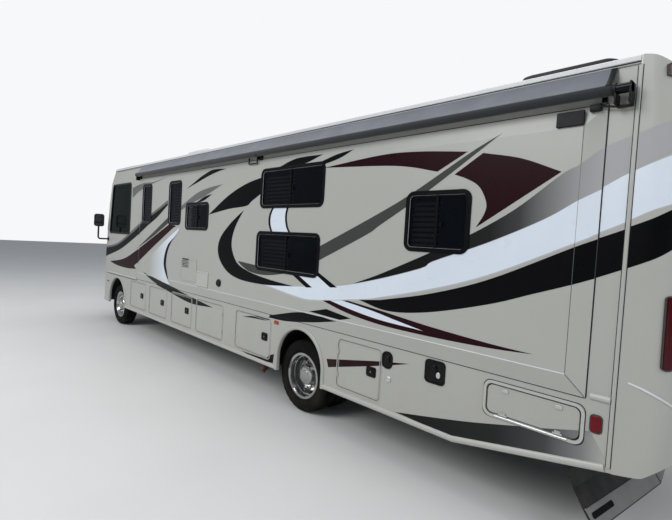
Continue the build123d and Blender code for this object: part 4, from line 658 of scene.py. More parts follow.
# Stripes: film colour, then the edges in pixels, each a smooth line with a corner at its ends
STRIPES = [
    ("sweep", [[(353, 283.6), (380, 274), (431.7, 252), (468, 235.7), (514, 210), (561.7, 174.5),
               (579, 165), (600, 148.7)], [(672, 152), (627, 174.4), (599, 189.8), (577, 201.3),
               (542.6, 220.4), (487, 243.4), (433.6, 261.6), (420, 269), (372, 280.7)]]),
    ("silver", [[(265, 284), (291.8, 286), (334, 286), (372, 280.2), (420, 268.4), (433.6, 261),
                (487, 242.8), (542.6, 219.8), (577, 200.8), (599, 189.3), (627, 173.9), (669, 155.9)],
                [(672, 205.6), (652, 211.9), (631, 221), (624, 224.4), (596, 235.2), (573, 245),
                (487, 276.6), (427.8, 290.9), (380, 298.6), (362.6, 300.5), (314.8, 301.4), (295.7, 297.6),
                (265, 286)]]),
    ("white", [[(265, 284.5), (291.8, 286.4), (334, 286.4), (372, 280.7), (420, 269), (433.6, 261.6),
               (487, 243.4), (542.6, 220.4), (577, 201.3), (599, 189.8), (627, 174.4), (669, 156.4)],
               [(672, 204), (652, 210.3), (631, 219.4), (624, 222.8), (596, 233.6), (573, 243.4),
               (487, 275), (427.8, 289.3), (380, 297), (362.6, 298.9), (314.8, 299.8), (295.7, 296),
               (265, 284.5)]]),
    ("black", [[(358.8, 299.8), (387.6, 311), (427.8, 312.3), (487, 304.6), (533, 294), (569, 285.5),
               (590.7, 279.5), (621, 270.3), (647, 261.9), (660, 256.7), (671.5, 250.4)], [(672, 209.8),
               (652, 218.8), (631, 226.4), (624, 229.8), (596, 239.2), (573, 247.6), (487, 280),
               (427.8, 294), (380, 300)]]),
    ("burgundy", [[(324.4, 167.8), (380, 155.4), (418, 151.6), (468, 151.6)], [(468, 151.6),
                  (437.4, 171.7)], [(437.4, 171.7), (408.7, 166.9), (380, 165.9), (324.4, 167.8)]]),
    ("burgundy", [[(483.3, 152.9), (521.6, 158.3), (561.7, 171.7)], [(561.7, 171.7), (475.7, 227.5)],
                  [(475.7, 227.5), (484.3, 213.7), (486.2, 202.3), (479.5, 187), (468, 179.3),
                  (454.6, 174.5)]]),
    ("charcoal", [[(502.4, 133), (468, 154.4), (414.4, 191.7), (380, 212.8), (319.6, 246.3)],
                  [(318.6, 260.6), (366.4, 234.8), (380, 225.2), (426, 192.7), (502.4, 133)]]),
    ("black", [[(272.5, 207), (269.2, 215), (268.6, 224), (270.8, 233)], [(290.5, 233), (287.8, 226),
               (287, 216), (288.8, 207)]]),
    ("white", [[(274.5, 207), (271.2, 215), (270.6, 224), (272.8, 233)], [(288.6, 233), (285.9, 226),
               (285.1, 216), (286.9, 207)]]),
    ("black", [[(291, 273.5), (306, 287.5)], [(337, 287.5), (318.5, 272.5)]]),
    ("white", [[(296.5, 273.5), (312, 287.5)], [(330, 287.5), (313.5, 272.5)]]),
    ("burgundy", [[(322.4, 300.5), (347, 313), (380, 324.7), (427.8, 336.2), (487, 347.7), (533, 354.4)],
                  [(533, 354.4), (487, 343), (427.8, 326), (380, 310.5), (347.3, 300.5)]]),
    ("white", [[(330, 300.5), (352, 310), (380, 320), (423, 331)], [(423, 331), (395, 320), (370, 310),
               (342, 300.5)]]),
    ("black", [[(262, 177.4), (246, 184), (228, 196), (208.6, 214.7)], [(208.6, 214.7), (228.7, 209),
               (246, 206), (252, 201), (261, 193.7)]]),
    ("black", [[(244, 210), (230.6, 223.3), (220, 238.6), (218.2, 254), (225, 269), (238.3, 278.8),
               (263, 284.5), (293.7, 286.4)], [(293.7, 286.4), (267, 278.8), (247.8, 271), (236.3, 261.6),
               (231.6, 244.4), (235.4, 227), (244, 210)]]),
    ("charcoal", [[(237.5, 260.8), (242.5, 266.5), (250, 271.7), (261.7, 274.8), (273.3, 274.9),
                  (286, 273.3)], [(286, 273.3), (270, 269), (256, 265.2), (237.5, 260.8)]]),
    ("black", [[(278.4, 167.8), (295.7, 158.3), (322.4, 154)], [(322.4, 154), (303.3, 164),
               (278.4, 167.8)]]),
    ("black", [[(320.5, 162), (337, 154), (353, 149)], [(353, 149), (340, 158), (324.4, 164.4)]]),
    ("black", [[(186.6, 189), (203.6, 174.8), (212.5, 169.5), (225.9, 168.4)], [(225.9, 168.4),
               (212.5, 173.9), (186.6, 189)]]),
    ("grey", [[(181.3, 206), (196.4, 193.6), (208, 188.2), (223.2, 184)], [(223.2, 184), (203.6, 197),
              (192.9, 202.5), (180.8, 210.5)]]),
    ("black", [[(196.4, 202.5), (205.4, 196.3), (212.5, 194)], [(212.5, 194), (203.6, 200.7),
               (196.4, 202.5)]]),
    ("grey", [[(105, 246.3), (117, 243), (127, 235.2), (141, 221.8), (159, 207.5), (168, 200)], [(168, 203),
              (159, 210), (151, 216), (141, 224), (135.5, 230), (127, 237.5), (117, 245), (105, 248)]]),
    ("black", [[(105, 248), (117, 245), (127, 237.5), (135.5, 230), (141, 224), (151, 216), (159, 210),
               (168, 203)], [(168, 205), (157, 217.5), (149, 224.4), (140.5, 232.5), (132, 240),
               (120.5, 249), (107, 255.5)]]),
    ("burgundy", [[(110, 261), (123, 258.8), (135.5, 251), (169, 224.4)], [(169, 224.4), (175.5, 226),
                  (173, 228)], [(173, 228), (154, 246), (139, 261), (134, 265.6)], [(134, 265.6),
                  (136, 268.8)], [(136, 268.8), (127, 268), (117, 265), (110, 261)]]),
    ("charcoal", [[(136.5, 248.6), (152, 233.6), (168, 217.5)], [(168, 223.4), (152, 237.2),
                  (136.5, 248.6)]]),
    ("pale", [[(179, 228), (165, 241), (150, 256), (143, 263)], [(143, 263), (147, 272), (156, 279),
              (169, 285)], [(169, 285), (165, 273), (164.5, 262), (168, 247), (179, 230)]]),
    ("black", [[(179, 233), (169, 243), (165, 253), (163.6, 264), (165.5, 273), (168.5, 281)],
               [(168.5, 281), (167, 272), (166, 264), (167.5, 252), (172, 241), (180.5, 231.5)]]),
    ("black", [[(143, 272), (154.6, 278), (171.8, 287), (190, 296.3), (213, 307.7)], [(213, 307.7),
               (190, 303), (167, 290.5), (153.5, 282.5), (143, 272)]]),
    ("grey", [[(132.7, 188), (142.5, 183.3), (152.8, 182), (166.6, 177)], [(166.6, 177), (142.5, 189),
              (132.7, 198)]]),
    ("black", [[(269.8, 315), (303.3, 312.3), (336, 321.5)], [(336, 321.5), (310, 322.5), (285, 321),
               (269, 317.5)]]),
    ("black", [[(309, 311.3), (326.3, 309)], [(326.3, 309), (351, 318.6)], [(351, 318.6), (339.7, 320)]]),
    ("black", [[(242.5, 316.4), (256, 316), (268.5, 317.6)], [(268.5, 317.6), (271, 319.6)], [(271, 319.6),
               (265.5, 320.4), (254, 318.2), (242.5, 316.4)]]),
    ("black", [[(241, 350.4), (256, 358.3), (272.8, 363.3)], [(272.8, 363.3), (274, 354.2)], [(274, 354.2),
               (269.5, 355.2), (265.5, 358.6)], [(265.5, 358.6), (253, 354.6), (241, 350.4)]]),
    ("burgundy", [[(326.6, 358.8), (350, 360), (379.8, 361.4), (409.5, 364)], [(409.5, 364), (379.8, 365.8),
                  (328.2, 367.2)]]),
    ("tail", [[(395, 412), (430, 417), (470, 422), (521.7, 426.4), (545.6, 428.4), (590, 431)], [(608, 464),
              (470, 441.7), (395, 412)]]),
]

# Laying the stripes on the panels
SPAN_STEPS = 6
FILM_THICK = 0.001
PICTURE_EDGE = 660.0
FRONT_EDGE = 108.0
TAIL_RUN = 1.15
NOSE_RUN = 0.75
CORNER_RADIUS = 0.22

slide_low_corner, slide_high_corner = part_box("slide_wall")
wall_low_corner, wall_high_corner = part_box("left_wall")
WALL_Y = wall_high_corner.y
SLIDE_Y = slide_high_corner.y
REAR_SEAM = wall_low_corner.x
FRONT_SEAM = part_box("left_skirt")[1].x
ends_tree = skin_tree("rear_cap", "front_cap", "front_bumper")


def side_place(point, side):
    """A point of the skin unrolled onto the side's plane: round the ends it goes on along the arc."""
    inward = max(0.0, WALL_Y - side * point.y)
    if inward < CORNER_RADIUS:
        angle = math.acos(1 - inward / CORNER_RADIUS)
        extra = CORNER_RADIUS * (angle - math.sin(angle))
    else:
        extra = CORNER_RADIUS * (math.pi / 2 - 1) + inward - CORNER_RADIUS
    return Vector((point.x - extra if point.x < 0 else point.x + extra, point.z))


def stripe_spot(u, v, on_room):
    """A pixel's place on the slide-out room's face, or else on the unrolled side."""
    if on_room:
        return Vector(seen_on_side(u, v, SLIDE_Y))
    x, z = seen_on_side(u, v, WALL_Y)
    if x < REAR_SEAM or x > FRONT_SEAM:
        hit = ends_tree.ray_cast(CAMERA_AT, sight_line(u, v))[0]
        if hit is not None:
            return side_place(hit, 1)
    return Vector((x, z))


def smooth_line(points):
    """Points along a Catmull-Rom line through the given ones."""
    if len(points) < 3:
        return list(points)
    line = []
    known = [2 * points[0] - points[1]] + list(points) + [2 * points[-1] - points[-2]]
    for before, start, end, after in zip(known, known[1:], known[2:], known[3:]):
        for step in range(SPAN_STEPS):
            t = step / SPAN_STEPS
            slope, bend = end - before, 2 * before - 5 * start + 4 * end - after
            line.append(0.5 * (2 * start + slope * t + bend * t * t
                               + (3 * start - before - 3 * end + after) * t ** 3))
    line.append(known[-2])
    return line


def run_on(line, first, last):
    """A line carried on round the end of the vehicle where it leaves the picture."""
    line = list(line)
    for at_end, (u, v) in ((False, first), (True, last)):
        if FRONT_EDGE < u < PICTURE_EDGE:
            continue
        tip, inner = (line[-1], line[-4]) if at_end else (line[0], line[3])
        reach = TAIL_RUN if u > PICTURE_EDGE else NOSE_RUN
        far = tip + (tip - inner).normalized() * reach
        if at_end:
            line.append(far)
        else:
            line.insert(0, far)
    return line


def stripe_loop(edges, on_room):
    """One stripe's outline, running counterclockwise, with no doubled points."""
    loop = []
    for edge in edges:
        line = smooth_line([stripe_spot(u, v, on_room) for u, v in edge])
        loop += run_on(line, edge[0], edge[-1]) if len(line) > 4 else line
    kept = []
    for point in loop:
        if not kept or (point - kept[-1]).length > 0.002:
            kept.append(point)
    if (kept[0] - kept[-1]).length < 0.002:
        kept.pop()
    area = sum(p.cross(q) for p, q in zip(kept, kept[1:] + kept[:1]))
    return kept if area > 0 else kept[::-1]


def panel_triangles(node, side):
    """The outward triangles of a panel: their corners, and the same unrolled, counterclockwise."""
    mesh = frame["nodes"][node].data
    mesh.calc_loop_triangles()
    found = []
    at_end = node in ("rear_cap", "front_cap", "front_bumper")
    slide = node == "slide_wall"
    for triangle in mesh.loop_triangles:
        corners = [mesh.vertices[index].co.copy() for index in triangle.vertices]
        normal = triangle.normal.copy()
        middle = sum(corners, Vector()) / 3
        if at_end:
            outward = Vector((middle.x - math.copysign(4.6, middle.x), middle.y, 0))
            if normal.dot(outward) <= 0.02 or side * middle.y < -0.3 or abs(normal.z) > 0.9:
                continue
        else:
            if normal.y * side < 0.5:
                continue
            if not slide and max(side * c.y for c in corners) > WALL_Y + 0.001:
                continue
            if min(side * c.y for c in corners) < WALL_Y - 0.001:
                continue
        flat = [side_place(corner, side) for corner in corners]
        area = (flat[1] - flat[0]).cross(flat[2] - flat[0])
        if abs(area) < 1e-7:
            continue
        if area < 0:
            corners.reverse()
            flat.reverse()
        found.append((corners, flat, normal))
    return found


def add_stripes(node, side, body):
    """Film cut to one panel: its outer triangles and the stripes are divided against each other."""
    found = panel_triangles(node, side)
    if not found:
        return
    points, faces = [], []
    for corners, flat, normal in found:
        faces.append([len(points), len(points) + 1, len(points) + 2])
        points += flat
    low = Vector((min(p.x for p in points), min(p.y for p in points)))
    high = Vector((max(p.x for p in points), max(p.y for p in points)))
    colours = []
    for colour, loop in stripe_loops[node == "slide_wall"]:
        if max(p.x for p in loop) < low.x or min(p.x for p in loop) > high.x:
            continue
        if max(p.y for p in loop) < low.y or min(p.y for p in loop) > high.y:
            continue
        faces.append(list(range(len(points), len(points) + len(loop))))
        points += loop
        colours.append(colour)
    if not colours:
        return
    spots, _, cells, _, _, sources = delaunay_2d_cdt(points, [], faces, 1, 1e-6)
    built = bmesh.new()
    names = []
    for cell, owners in zip(cells, sources):
        panel = [index for index in owners if index < len(found)]
        over = [index for index in owners if index >= len(found)]
        if not panel or not over:
            continue
        corners, flat, normal = found[panel[0]]
        colour = colours[max(over) - len(found)]
        if colour not in names:
            names.append(colour)
        verts = []
        for spot in cell:
            place = barycentric_transform(spots[spot].to_3d(), *[f.to_3d() for f in flat], *corners)
            verts.append(built.verts.new(place + normal * FILM_THICK))
        face = built.faces.new(verts)
        face.normal_update()
        if face.normal.dot(normal) < 0:
            face.normal_flip()
        face.material_index = names.index(colour)
    if not built.faces:
        built.free()
        return
    bmesh.ops.remove_doubles(built, verts=built.verts, dist=0.0002)
    name = node + ("_stripes" if side > 0 else "_stripes_right")
    made = object_of(name, built, [film[colour] for colour in names])
    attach(made, body)


stripe_loops = [[(colour, stripe_loop(edges, on_room)) for colour, edges in STRIPES]
                for on_room in (False, True)]

# Finishes of the carried-over nodes
SIDES = ((1, "left"), (-1, "right"))
CAB_PANE_X = 3.7
bodies_of = frame["record"]["behaviour"]["bodies"]
node_body = {node: body for body, nodes in bodies_of.items() for node in nodes}
FINISHES = {
    "body_paint": paint, "roof_skin": roof_skin, "chassis_black": chassis_black, "iron": cast_iron,
    "tank_steel": chassis_black, "liner_black": satin_black, "floor_wood": floor_wood,
    "trim_black": gloss_black, "window_glass": dark_glass, "windscreen_glass": clear_glass,
    "lamp_lens": clear_lens, "tyre_rubber": tyre_rubber, "wheel_chrome": wheel_chrome, "steel": steel,
    "seat_cloth": dark_plastic, "dash_plastic": dark_plastic, "cabinet_wood": cabinet_wood,
    "ladder_alu": aluminium, "topper_cloth": topper_cloth, "awning_white": white_metal,
    "rubber_sheet": satin_black, "unit_shroud": shroud_grey,
}
for row in frame["record"]["subparts"]:
    mesh = frame["nodes"][row["node"]].data
    mesh.materials.clear()
    mesh.materials.append(FINISHES[row["material_slot"]])

# The cab's side glass is darker than the rest, and the lenses at the back are red
cab_panes = frame["nodes"]["wall_window_panes"].data
cab_panes.materials.append(cab_glass)
for polygon in cab_panes.polygons:
    polygon.material_index = 1 if polygon.center.x > CAB_PANE_X else 0
lamp_mesh = frame["nodes"]["lamps"].data
lamp_mesh.materials.append(red_lens)
for polygon in lamp_mesh.polygons:
    polygon.material_index = 1 if polygon.center.x < 0 else 0

for side, side_name in SIDES:
    panels = [side_name + "_wall", side_name + "_skirt", "rear_cap", "front_cap", "front_bumper"]
    panels += [node for node in node_body if node.startswith(side_name + "_bag_door")]
    panels += ["slide_wall", "left_hatch"] if side > 0 else ["entry_door"]
    for node in panels:
        add_stripes(node, side, node_body[node])

# Side mouldings
FRONT_AXLE_X = 4.335
REAR_ARCH_X = -1.790
ARCHES = [(REAR_ARCH_X, 0.397, 0.974), (FRONT_AXLE_X, 0.470, 0.980)]
ARCH_STEPS = 28
LIP_OUT = 0.024
SKIRT_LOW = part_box("left_skirt")[0].z
TAIL_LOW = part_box("rear_cap")[0].z
RISE_X = -3.825
ROCKER_Z = 0.440
BELT_Z = 1.064
BELT_SHADOW_DROP = 0.026
STUB_Z = 1.089
EDGE_TOP = 3.212
ROOF_EDGE_FRONT = 4.62
SEAM_LINE_OUT = 0.0140
left_place = on_side(WALL_Y)
right_place = on_side(WALL_Y, -1)


def arch_path(x, half, top, low):
    """A wheel arch's edge, from one foot over the top to the other."""
    path = [(x + half, low)]
    for step in range(ARCH_STEPS + 1):
        angle = math.pi * step / ARCH_STEPS
        path.append((x + half * math.cos(angle), top - half + half * math.sin(angle)))
    return path + [(x - half, low)]


def add_mouldings(side, side_name, place):
    """Arch lips, rocker and belt mouldings with a black strip under each belt run as painted shadow, and the
    trim along the seam and the roof's edge.
    """
    arches = [arch_path(x, half + LIP_OUT, top + LIP_OUT, SKIRT_LOW + 0.002) for x, half, top in ARCHES]
    lips = [(trim(arch, bead(0.052, 0.020), place), 0) for arch in arches]
    made_of(side_name + "_arch_lips", lips, [paint], "coach")

    runs = [[(FRONT_AXLE_X + 0.50, ROCKER_Z), (FRONT_SEAM - 0.012, ROCKER_Z)],
            [(REAR_ARCH_X - 0.43, ROCKER_Z), (RISE_X, ROCKER_Z), (REAR_SEAM + 0.03, TAIL_LOW + 0.020)],
            [(REAR_ARCH_X + 0.43, ROCKER_Z), (FRONT_AXLE_X - 0.50, ROCKER_Z)]]
    rocker = [(trim(run, bead(0.052, 0.016, 8), place), 0) for run in runs]
    made_of(side_name + "_rocker_moulding", rocker, [pale_trim], "coach")

    front_end = (FRONT_SEAM - 0.005, BELT_Z)
    runs = [[(3.262, BELT_Z), front_end]]
    if side < 0:
        runs = [[(2.20, BELT_Z), front_end], [(REAR_SEAM + 0.020, BELT_Z), (1.47, BELT_Z)]]
    belts = [(trim(run, bead(0.044, 0.014, 8), place), 0) for run in runs]
    for run in runs:
        # A thin black strip under each belt run: painted shadow of the moulding.
        line = [(x, z - BELT_SHADOW_DROP) for x, z in run]
        belts.append((trim(line, flat_bar(0.010, 0.006, 0.002), place), 1))
    if side > 0:
        stub = [(REAR_SEAM + 0.022, STUB_Z), (-4.828, STUB_Z)]
        belts.append((trim(stub, bead(0.046, 0.020, 12), place), 0))
    made_of(side_name + "_belt_moulding", belts, [pale_trim, satin_black], "coach")

    edges = []
    for shift, section, finish in ((0.0, flat_bar(0.024, 0.008, 0.004), 0),
                                   (-SEAM_LINE_OUT, flat_bar(0.005, 0.003, 0.001), 1),
                                   (SEAM_LINE_OUT, flat_bar(0.005, 0.003, 0.001), 1)):
        x = REAR_SEAM + 0.008 + shift
        edges.append((trim([(x, TAIL_LOW + 0.03), (x, EDGE_TOP)], section, place), finish))
    for z, section, finish in ((3.254, flat_bar(0.034, 0.010, 0.004), 2),
                               (3.233, flat_bar(0.010, 0.004, 0.001), 1),
                               (3.222, bead(0.012, 0.012), 0)):
        edges.append((trim([(REAR_SEAM + 0.01, z), (ROOF_EDGE_FRONT, z)], section, place), finish))
    made_of(side_name + "_edge_mouldings", edges, [paint, satin_black, white_metal], "coach")


for side, side_name in SIDES:
    add_mouldings(side, side_name, on_side(WALL_Y, side))

# Slide-out surround: a white bead on the lower crease as painted highlight, grey lines up the rear crease and
# along the lower rear mitre as painted shade, the black seal at the outer edge
slide_mid = ((slide_low_corner.x + slide_high_corner.x) / 2, (slide_low_corner.z + slide_high_corner.z) / 2)
slide_size = (slide_high_corner.x - slide_low_corner.x, slide_high_corner.z - slide_low_corner.z)
CREASE_IN = 0.130
SEAL_GAP = 0.006
CORNER_STEPS = 6
crease_low = (slide_low_corner.x + CREASE_IN, slide_low_corner.z + CREASE_IN)
crease_high = (slide_high_corner.x - CREASE_IN, slide_high_corner.z - CREASE_IN)
slide_tree = skin_tree("slide_wall")
line, outward = [], []
for step in range(CORNER_STEPS + 1):
    t = step / CORNER_STEPS * 0.97 * CREASE_IN
    start = Vector((crease_low[0] - t, 2.0, crease_low[1] - t))
    spot, normal, _, _ = slide_tree.ray_cast(start, Vector((0, -1, 0)))
    line.append(spot)
    outward.append(normal)
face_place = on_side(SLIDE_Y - 0.0006)
# White bead on the lower crease: painted highlight. Grey lines on the rear crease and the lower rear mitre:
# painted shade.
creases = [(trim([crease_low, (crease_high[0], crease_low[1])], bead(0.010, 0.003, 6), face_place), 0),
           (trim([(crease_low[0], crease_high[1]), crease_low], bead(0.005, 0.0018, 6), face_place), 1),
           (run_on_skin(line, outward, bead(0.006, 0.002, 6)), 1)]
made_of("slide_crease_line", creases, [white_metal, film["grey"]], "slide_out")
single("slide_seal", trim(rect_loop(*slide_mid, slide_size[0] + SEAL_GAP, slide_size[1] + SEAL_GAP, 0.012, 3),
                          flat_bar(0.007, 0.006, 0.002), left_place, closed=True), satin_black, "coach")

# Windows: sashes and centre bars outside, blinds behind the glass, and a black sheet behind the blinds as
# painted shade for the dark inside
SLAT_PITCH = 0.046
SLAT_WIDE = 0.040
SLAT_TILT = math.radians(52)
SLAT_POINTS = ((-0.5, 0.0), (0.0, 0.003), (0.5, 0.0), (0.5, -0.001), (0.0, 0.002), (-0.5, -0.001))
BLIND_BACK = 0.045
SHADE_BACK = 0.085
SASH_FROM = 0.55
CAB_WINDOW_X = 4.5
DARK_BAND_LOW = 2.66


def blinds(low, high, y, side):
    """Tilted slats behind a window."""
    parts = []
    for index in range(int((high.z - low.z - 0.02) / SLAT_PITCH)):
        z = low.z + 0.02 + index * SLAT_PITCH
        section = []
        for share, lift in SLAT_POINTS:
            across = share * SLAT_WIDE
            section.append((side * (y + across * math.cos(SLAT_TILT) - lift * math.sin(SLAT_TILT)),
                            z - across * math.sin(SLAT_TILT) + lift * math.cos(SLAT_TILT)))
        rings = [[Vector((x, *point)) for point in section] for x in (low.x + 0.006, high.x - 0.006)]
        parts.append((loft(rings), 0))
    return parts


def dress_window(low, high, name, body, side):
    """The sash bars and blinds of one window, with a black sheet behind them as painted shade for the dark
    inside.
    """
    face = max(side * low.y, side * high.y)
    wide, tall = high.x - low.x, high.z - low.z
    middle = ((low.x + high.x) / 2, (low.z + high.z) / 2)
    inner = on_side(face + 0.001, side)
    bars = [(trim(rect_loop(*middle, wide - 0.012, tall - 0.012, 0.035), flat_bar(0.016, 0.006, 0.002), inner,
                  closed=True), 0),
            (trim(rect_loop(*middle, wide - 0.002, tall - 0.002, 0.040), bead(0.005, 0.009, 6), inner,
                  closed=True), 1)]
    slats_low = low.copy()
    if wide > SASH_FROM:
        slats_low.x = middle[0]
        upright = [(middle[0], low.z + 0.004), (middle[0], high.z - 0.004)]
        bars.append((trim(upright, flat_bar(0.030, 0.012, 0.003), inner), 0))
        bars += plates(inner, [(middle[0] - 0.05, low.z + tall * 0.45, 0.022, 0.05, 0.008,
                                [(0, 0), (0, 0.014), (0.003, 0.017)], 0)])
    made_of(name + "_sash", bars, [gloss_black, silver_line], body)
    made_of(name + "_blind", blinds(slats_low, high, face - BLIND_BACK, side), [blind_grey], body)
    # A black sheet behind the blinds: painted shade for the dark inside of the vehicle.
    single(name + "_shade", stacked(*middle, wide - 0.01, tall - 0.01, 0.03, [(0, 0), (0, 0.002)],
                                    on_side(face - SHADE_BACK, side)), shade_black, body)


def dress_cab_window(low, high, side, side_name):
    """A black sheet with a foot bar behind the top of the cab's side window, darkening the upper part of the
    glass.
    """
    inner = on_side(max(side * low.y, side * high.y) - 0.018, side)
    rear_x, front_x, top = low.x + 0.01, high.x - 0.155, high.z - 0.01
    foot = [(rear_x, DARK_BAND_LOW), (front_x + 0.05, DARK_BAND_LOW)]
    edge = foot + [(front_x, top), (rear_x, top)]
    # The black sheet and its foot bar that darken the top of the cab glass.
    dark_band = [(loft([[inner(x, z, out) for x, z in edge] for out in (0.0, 0.004)]), 0),
             (trim(foot, flat_bar(0.020, 0.012, 0.003), inner), 0)]
    made_of("cab_window_shade_" + side_name, dark_band, [shade_black], "coach")


slide_panes = sorted(islands("slide_window_panes"), key=lambda box: -box[1].x)
for index, (low, high) in enumerate(slide_panes):
    dress_window(low, high, "slide_window_%d" % (index + 1), "slide_out", 1)
wall_panes = sorted(islands("wall_window_panes"), key=lambda box: (box[0].y < 0, -box[1].x))
for index, (low, high) in enumerate(wall_panes):
    side, side_name = SIDES[low.y < 0]
    if high.x > CAB_WINDOW_X:
        dress_cab_window(low, high, side, side_name)
    else:
        dress_window(low, high, "right_window_%d" % index, "coach", side)

# Latches, ports and panels of the side
LATCH_Z = 0.768
LATCH_STEPS = [(0, 0), (0, 0.006), (0.005, 0.011), (0.014, 0.007), (0.018, 0.002)]
BOX_STEPS = [(0, 0), (0, 0.008), (0.004, 0.012)]
KEY_STEPS = [(0, 0.010), (0, 0.013), (0.002, 0.014)]
LATCHES = [("left_bag_door_1", 2.957), ("left_bag_door_2", 2.020), ("left_bag_door_3", 1.066),
           ("left_bag_door_5", -1.102), ("left_bag_door_6", -2.902), ("right_bag_door_1", None),
           ("right_bag_door_2", None), ("right_bag_door_3", None)]
for node, x in LATCHES:
    low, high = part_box(node)
    if x is None:
        x = low.x + 0.12
    x = min(max(x, low.x + 0.085), high.x - 0.085)
    tall, corner = (0.062, 0.030) if node == "left_bag_door_6" else (0.040, 0.010)
    rows = [(x, LATCH_Z, 0.125, 0.100, 0.022, LATCH_STEPS, 0),
            (x, LATCH_Z, 0.062, tall, corner, BOX_STEPS, 0),
            (x, LATCH_Z, 0.014, 0.014, 0.006, KEY_STEPS, 1)]
    place = left_place if low.y > 0 else right_place
    made_of(node + "_latch", plates(place, rows), [gloss_black, steel], node)

# Hatch: pale frame round it, thumb latches and a bright hinge rail
HATCH_SIZE = (0.662, 0.212)
hatch_low, hatch_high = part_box("left_hatch")
hatch_mid = ((hatch_low.x + hatch_high.x) / 2, LATCH_Z + HATCH_SIZE[1] / 2)
surround = []
for grow, wide, tall, finish in ((0.044, 0.022, 0.009, 0), (0.070, 0.005, 0.003, 1),
                                 (0.019, 0.005, 0.003, 1)):
    loop = rect_loop(*hatch_mid, HATCH_SIZE[0] + grow, HATCH_SIZE[1] + grow, 0.055)
    surround.append((trim(loop, flat_bar(wide, tall, 0.001), left_place, closed=True), finish))
made_of("hatch_frame", surround, [pale_trim, satin_black], "coach")
CATCH_PIXELS = ((505.5, 391), (559, 405))
CATCH_STEPS = [(0, 0), (0, 0.007), (0.005, 0.010)]
catches = [(seen_on_side(u, v, WALL_Y)[0], 0.952, 0.050, 0.030, 0.012, CATCH_STEPS, 0)
           for u, v in CATCH_PIXELS]
made_of("hatch_catches", plates(left_place, catches), [pale_trim], "left_hatch")
single("hatch_step_rail", trim([(-4.706, 0.750), (-4.18, 0.750)], bead(0.024, 0.016), left_place), aluminium,
       "coach")

RECESS = [(0, 0), (0, 0.007), (0.005, 0.012), (0.013, 0.010), (0.020, 0.002)]
CAP_STEPS = [(0, 0), (0, 0.006), (0.004, 0.009), (0.012, 0.009), (0.014, 0.004)]
ports = [(-3.094, 0.928, 0.128, 0.162, 0.055, RECESS, 0),
         (-3.094, 0.935, 0.070, 0.070, 0.034, [(0, 0), (0, 0.010), (0.006, 0.014)], 0),
         (-3.621, 0.944, 0.206, 0.204, 0.040, RECESS, 0),
         (-3.600, 0.950, 0.080, 0.110, 0.030, [(0, 0), (0, 0.010), (0.008, 0.016)], 0),
         (-3.660, 0.925, 0.040, 0.050, 0.018, [(0, 0), (0, 0.012), (0.004, 0.015)], 1),
         (-3.116, 0.752, 0.070, 0.054, 0.026, CAP_STEPS, 1)]
made_of("side_ports", plates(left_place, ports), [gloss_black, aluminium], "coach")

marker = [(-4.874, 0.912, 0.078, 0.124, 0.026, [(0, 0), (0, 0.006), (0.003, 0.009)], 1),
          (-4.874, 0.912, 0.064, 0.110, 0.022, [(0, 0.006), (0, 0.012), (0.006, 0.018)], 0)]
made_of("rear_side_lamp", plates(left_place, marker), [side_red, dark_plastic], "coach")
ambers = [(-1.335, 0.985, 0.085, 0.042, 0.014, BOX_STEPS, 0), (4.93, 0.86, 0.090, 0.030, 0.012, BOX_STEPS, 0)]
made_of("side_amber_lamps", plates(left_place, ambers) + plates(right_place, ambers), [amber_lens], "coach")

# Access panels in the slide-out
VENT_BARS = 6
PANEL_STEPS = [(0, 0), (0, 0.006), (0.004, 0.009), (0.020, 0.009), (0.023, 0.004)]
INLET_STEPS = [(0, 0), (0, 0.010), (0.012, 0.018), (0.020, 0.018), (0.026, 0.012)]
access = plates(on_side(SLIDE_Y), [
    (1.008, 1.428, 0.542, 0.358, 0.025, PANEL_STEPS, 0),
    (1.115, 1.530, 0.240, 0.150, 0.012, [(0, 0.003), (0, 0.008), (0.002, 0.009)], 0),
    (0.540, 1.326, 0.366, 0.235, 0.020, INLET_STEPS, 2),
    (0.040, 1.323, 0.110, 0.105, 0.045, [(0, 0), (0, 0.012), (0.014, 0.026), (0.020, 0.026)], 1),
    (-4.580, 2.925, 0.180, 0.100, 0.010, [(0, 0), (0, 0.012), (0.004, 0.016)], 1)])
for step in range(VENT_BARS):
    height = 1.588 - step * 0.023
    access.append((trim([(1.01, height), (1.22, height)], bead(0.011, 0.006), on_side(SLIDE_Y + 0.008)), 1))
made_of("slide_access_panels", access, [paint, satin_black, pale_trim], "slide_out")

# Slide topper: cloth from the roof rail to the roller, and the turns on the roller
roller_low, roller_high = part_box("topper_roller")
CLOTH_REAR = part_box("topper_fabric")[0].x + 0.002
CLOTH_FRONT = roller_high.x - 0.045
ROLLER_AT = (1.3645, 3.059)
ROLL_RADIUS = 0.0365
RAIL_AT = (1.2885, 3.2305)
CLOTH_THICK = 0.0014
LEAVES_AT = math.radians(38)
ACROSS = 14
ALONG = 120
HEM_WIDE = 0.036
ROLL_STEPS = 40


def roll_edge(turn):
    """The wound cloth's radius at one angle, with the loose edge's step."""
    return ROLL_RADIUS - 0.0016 * turn / (2 * math.pi)


def cloth_section(x):
    """The cloth from rail to roller at one place, as y and z."""
    ripple = 0.0022 * math.sin(x * 7.1) + 0.0013 * math.sin(x * 17.3 + 1.0)
    end = (ROLLER_AT[0] + (ROLL_RADIUS + 0.0012) * math.cos(LEAVES_AT),
           ROLLER_AT[1] + (ROLL_RADIUS + 0.0012) * math.sin(LEAVES_AT))
    points = []
    for step in range(ACROSS + 1):
        t = step / ACROSS
        sag = 4 * t * (1 - t)
        points.append((RAIL_AT[0] + (end[0] - RAIL_AT[0]) * t - 0.003 * sag + ripple * sag * 0.5,
                       RAIL_AT[1] + (end[1] - RAIL_AT[1]) * t - 0.006 * sag + ripple * sag))
    return points


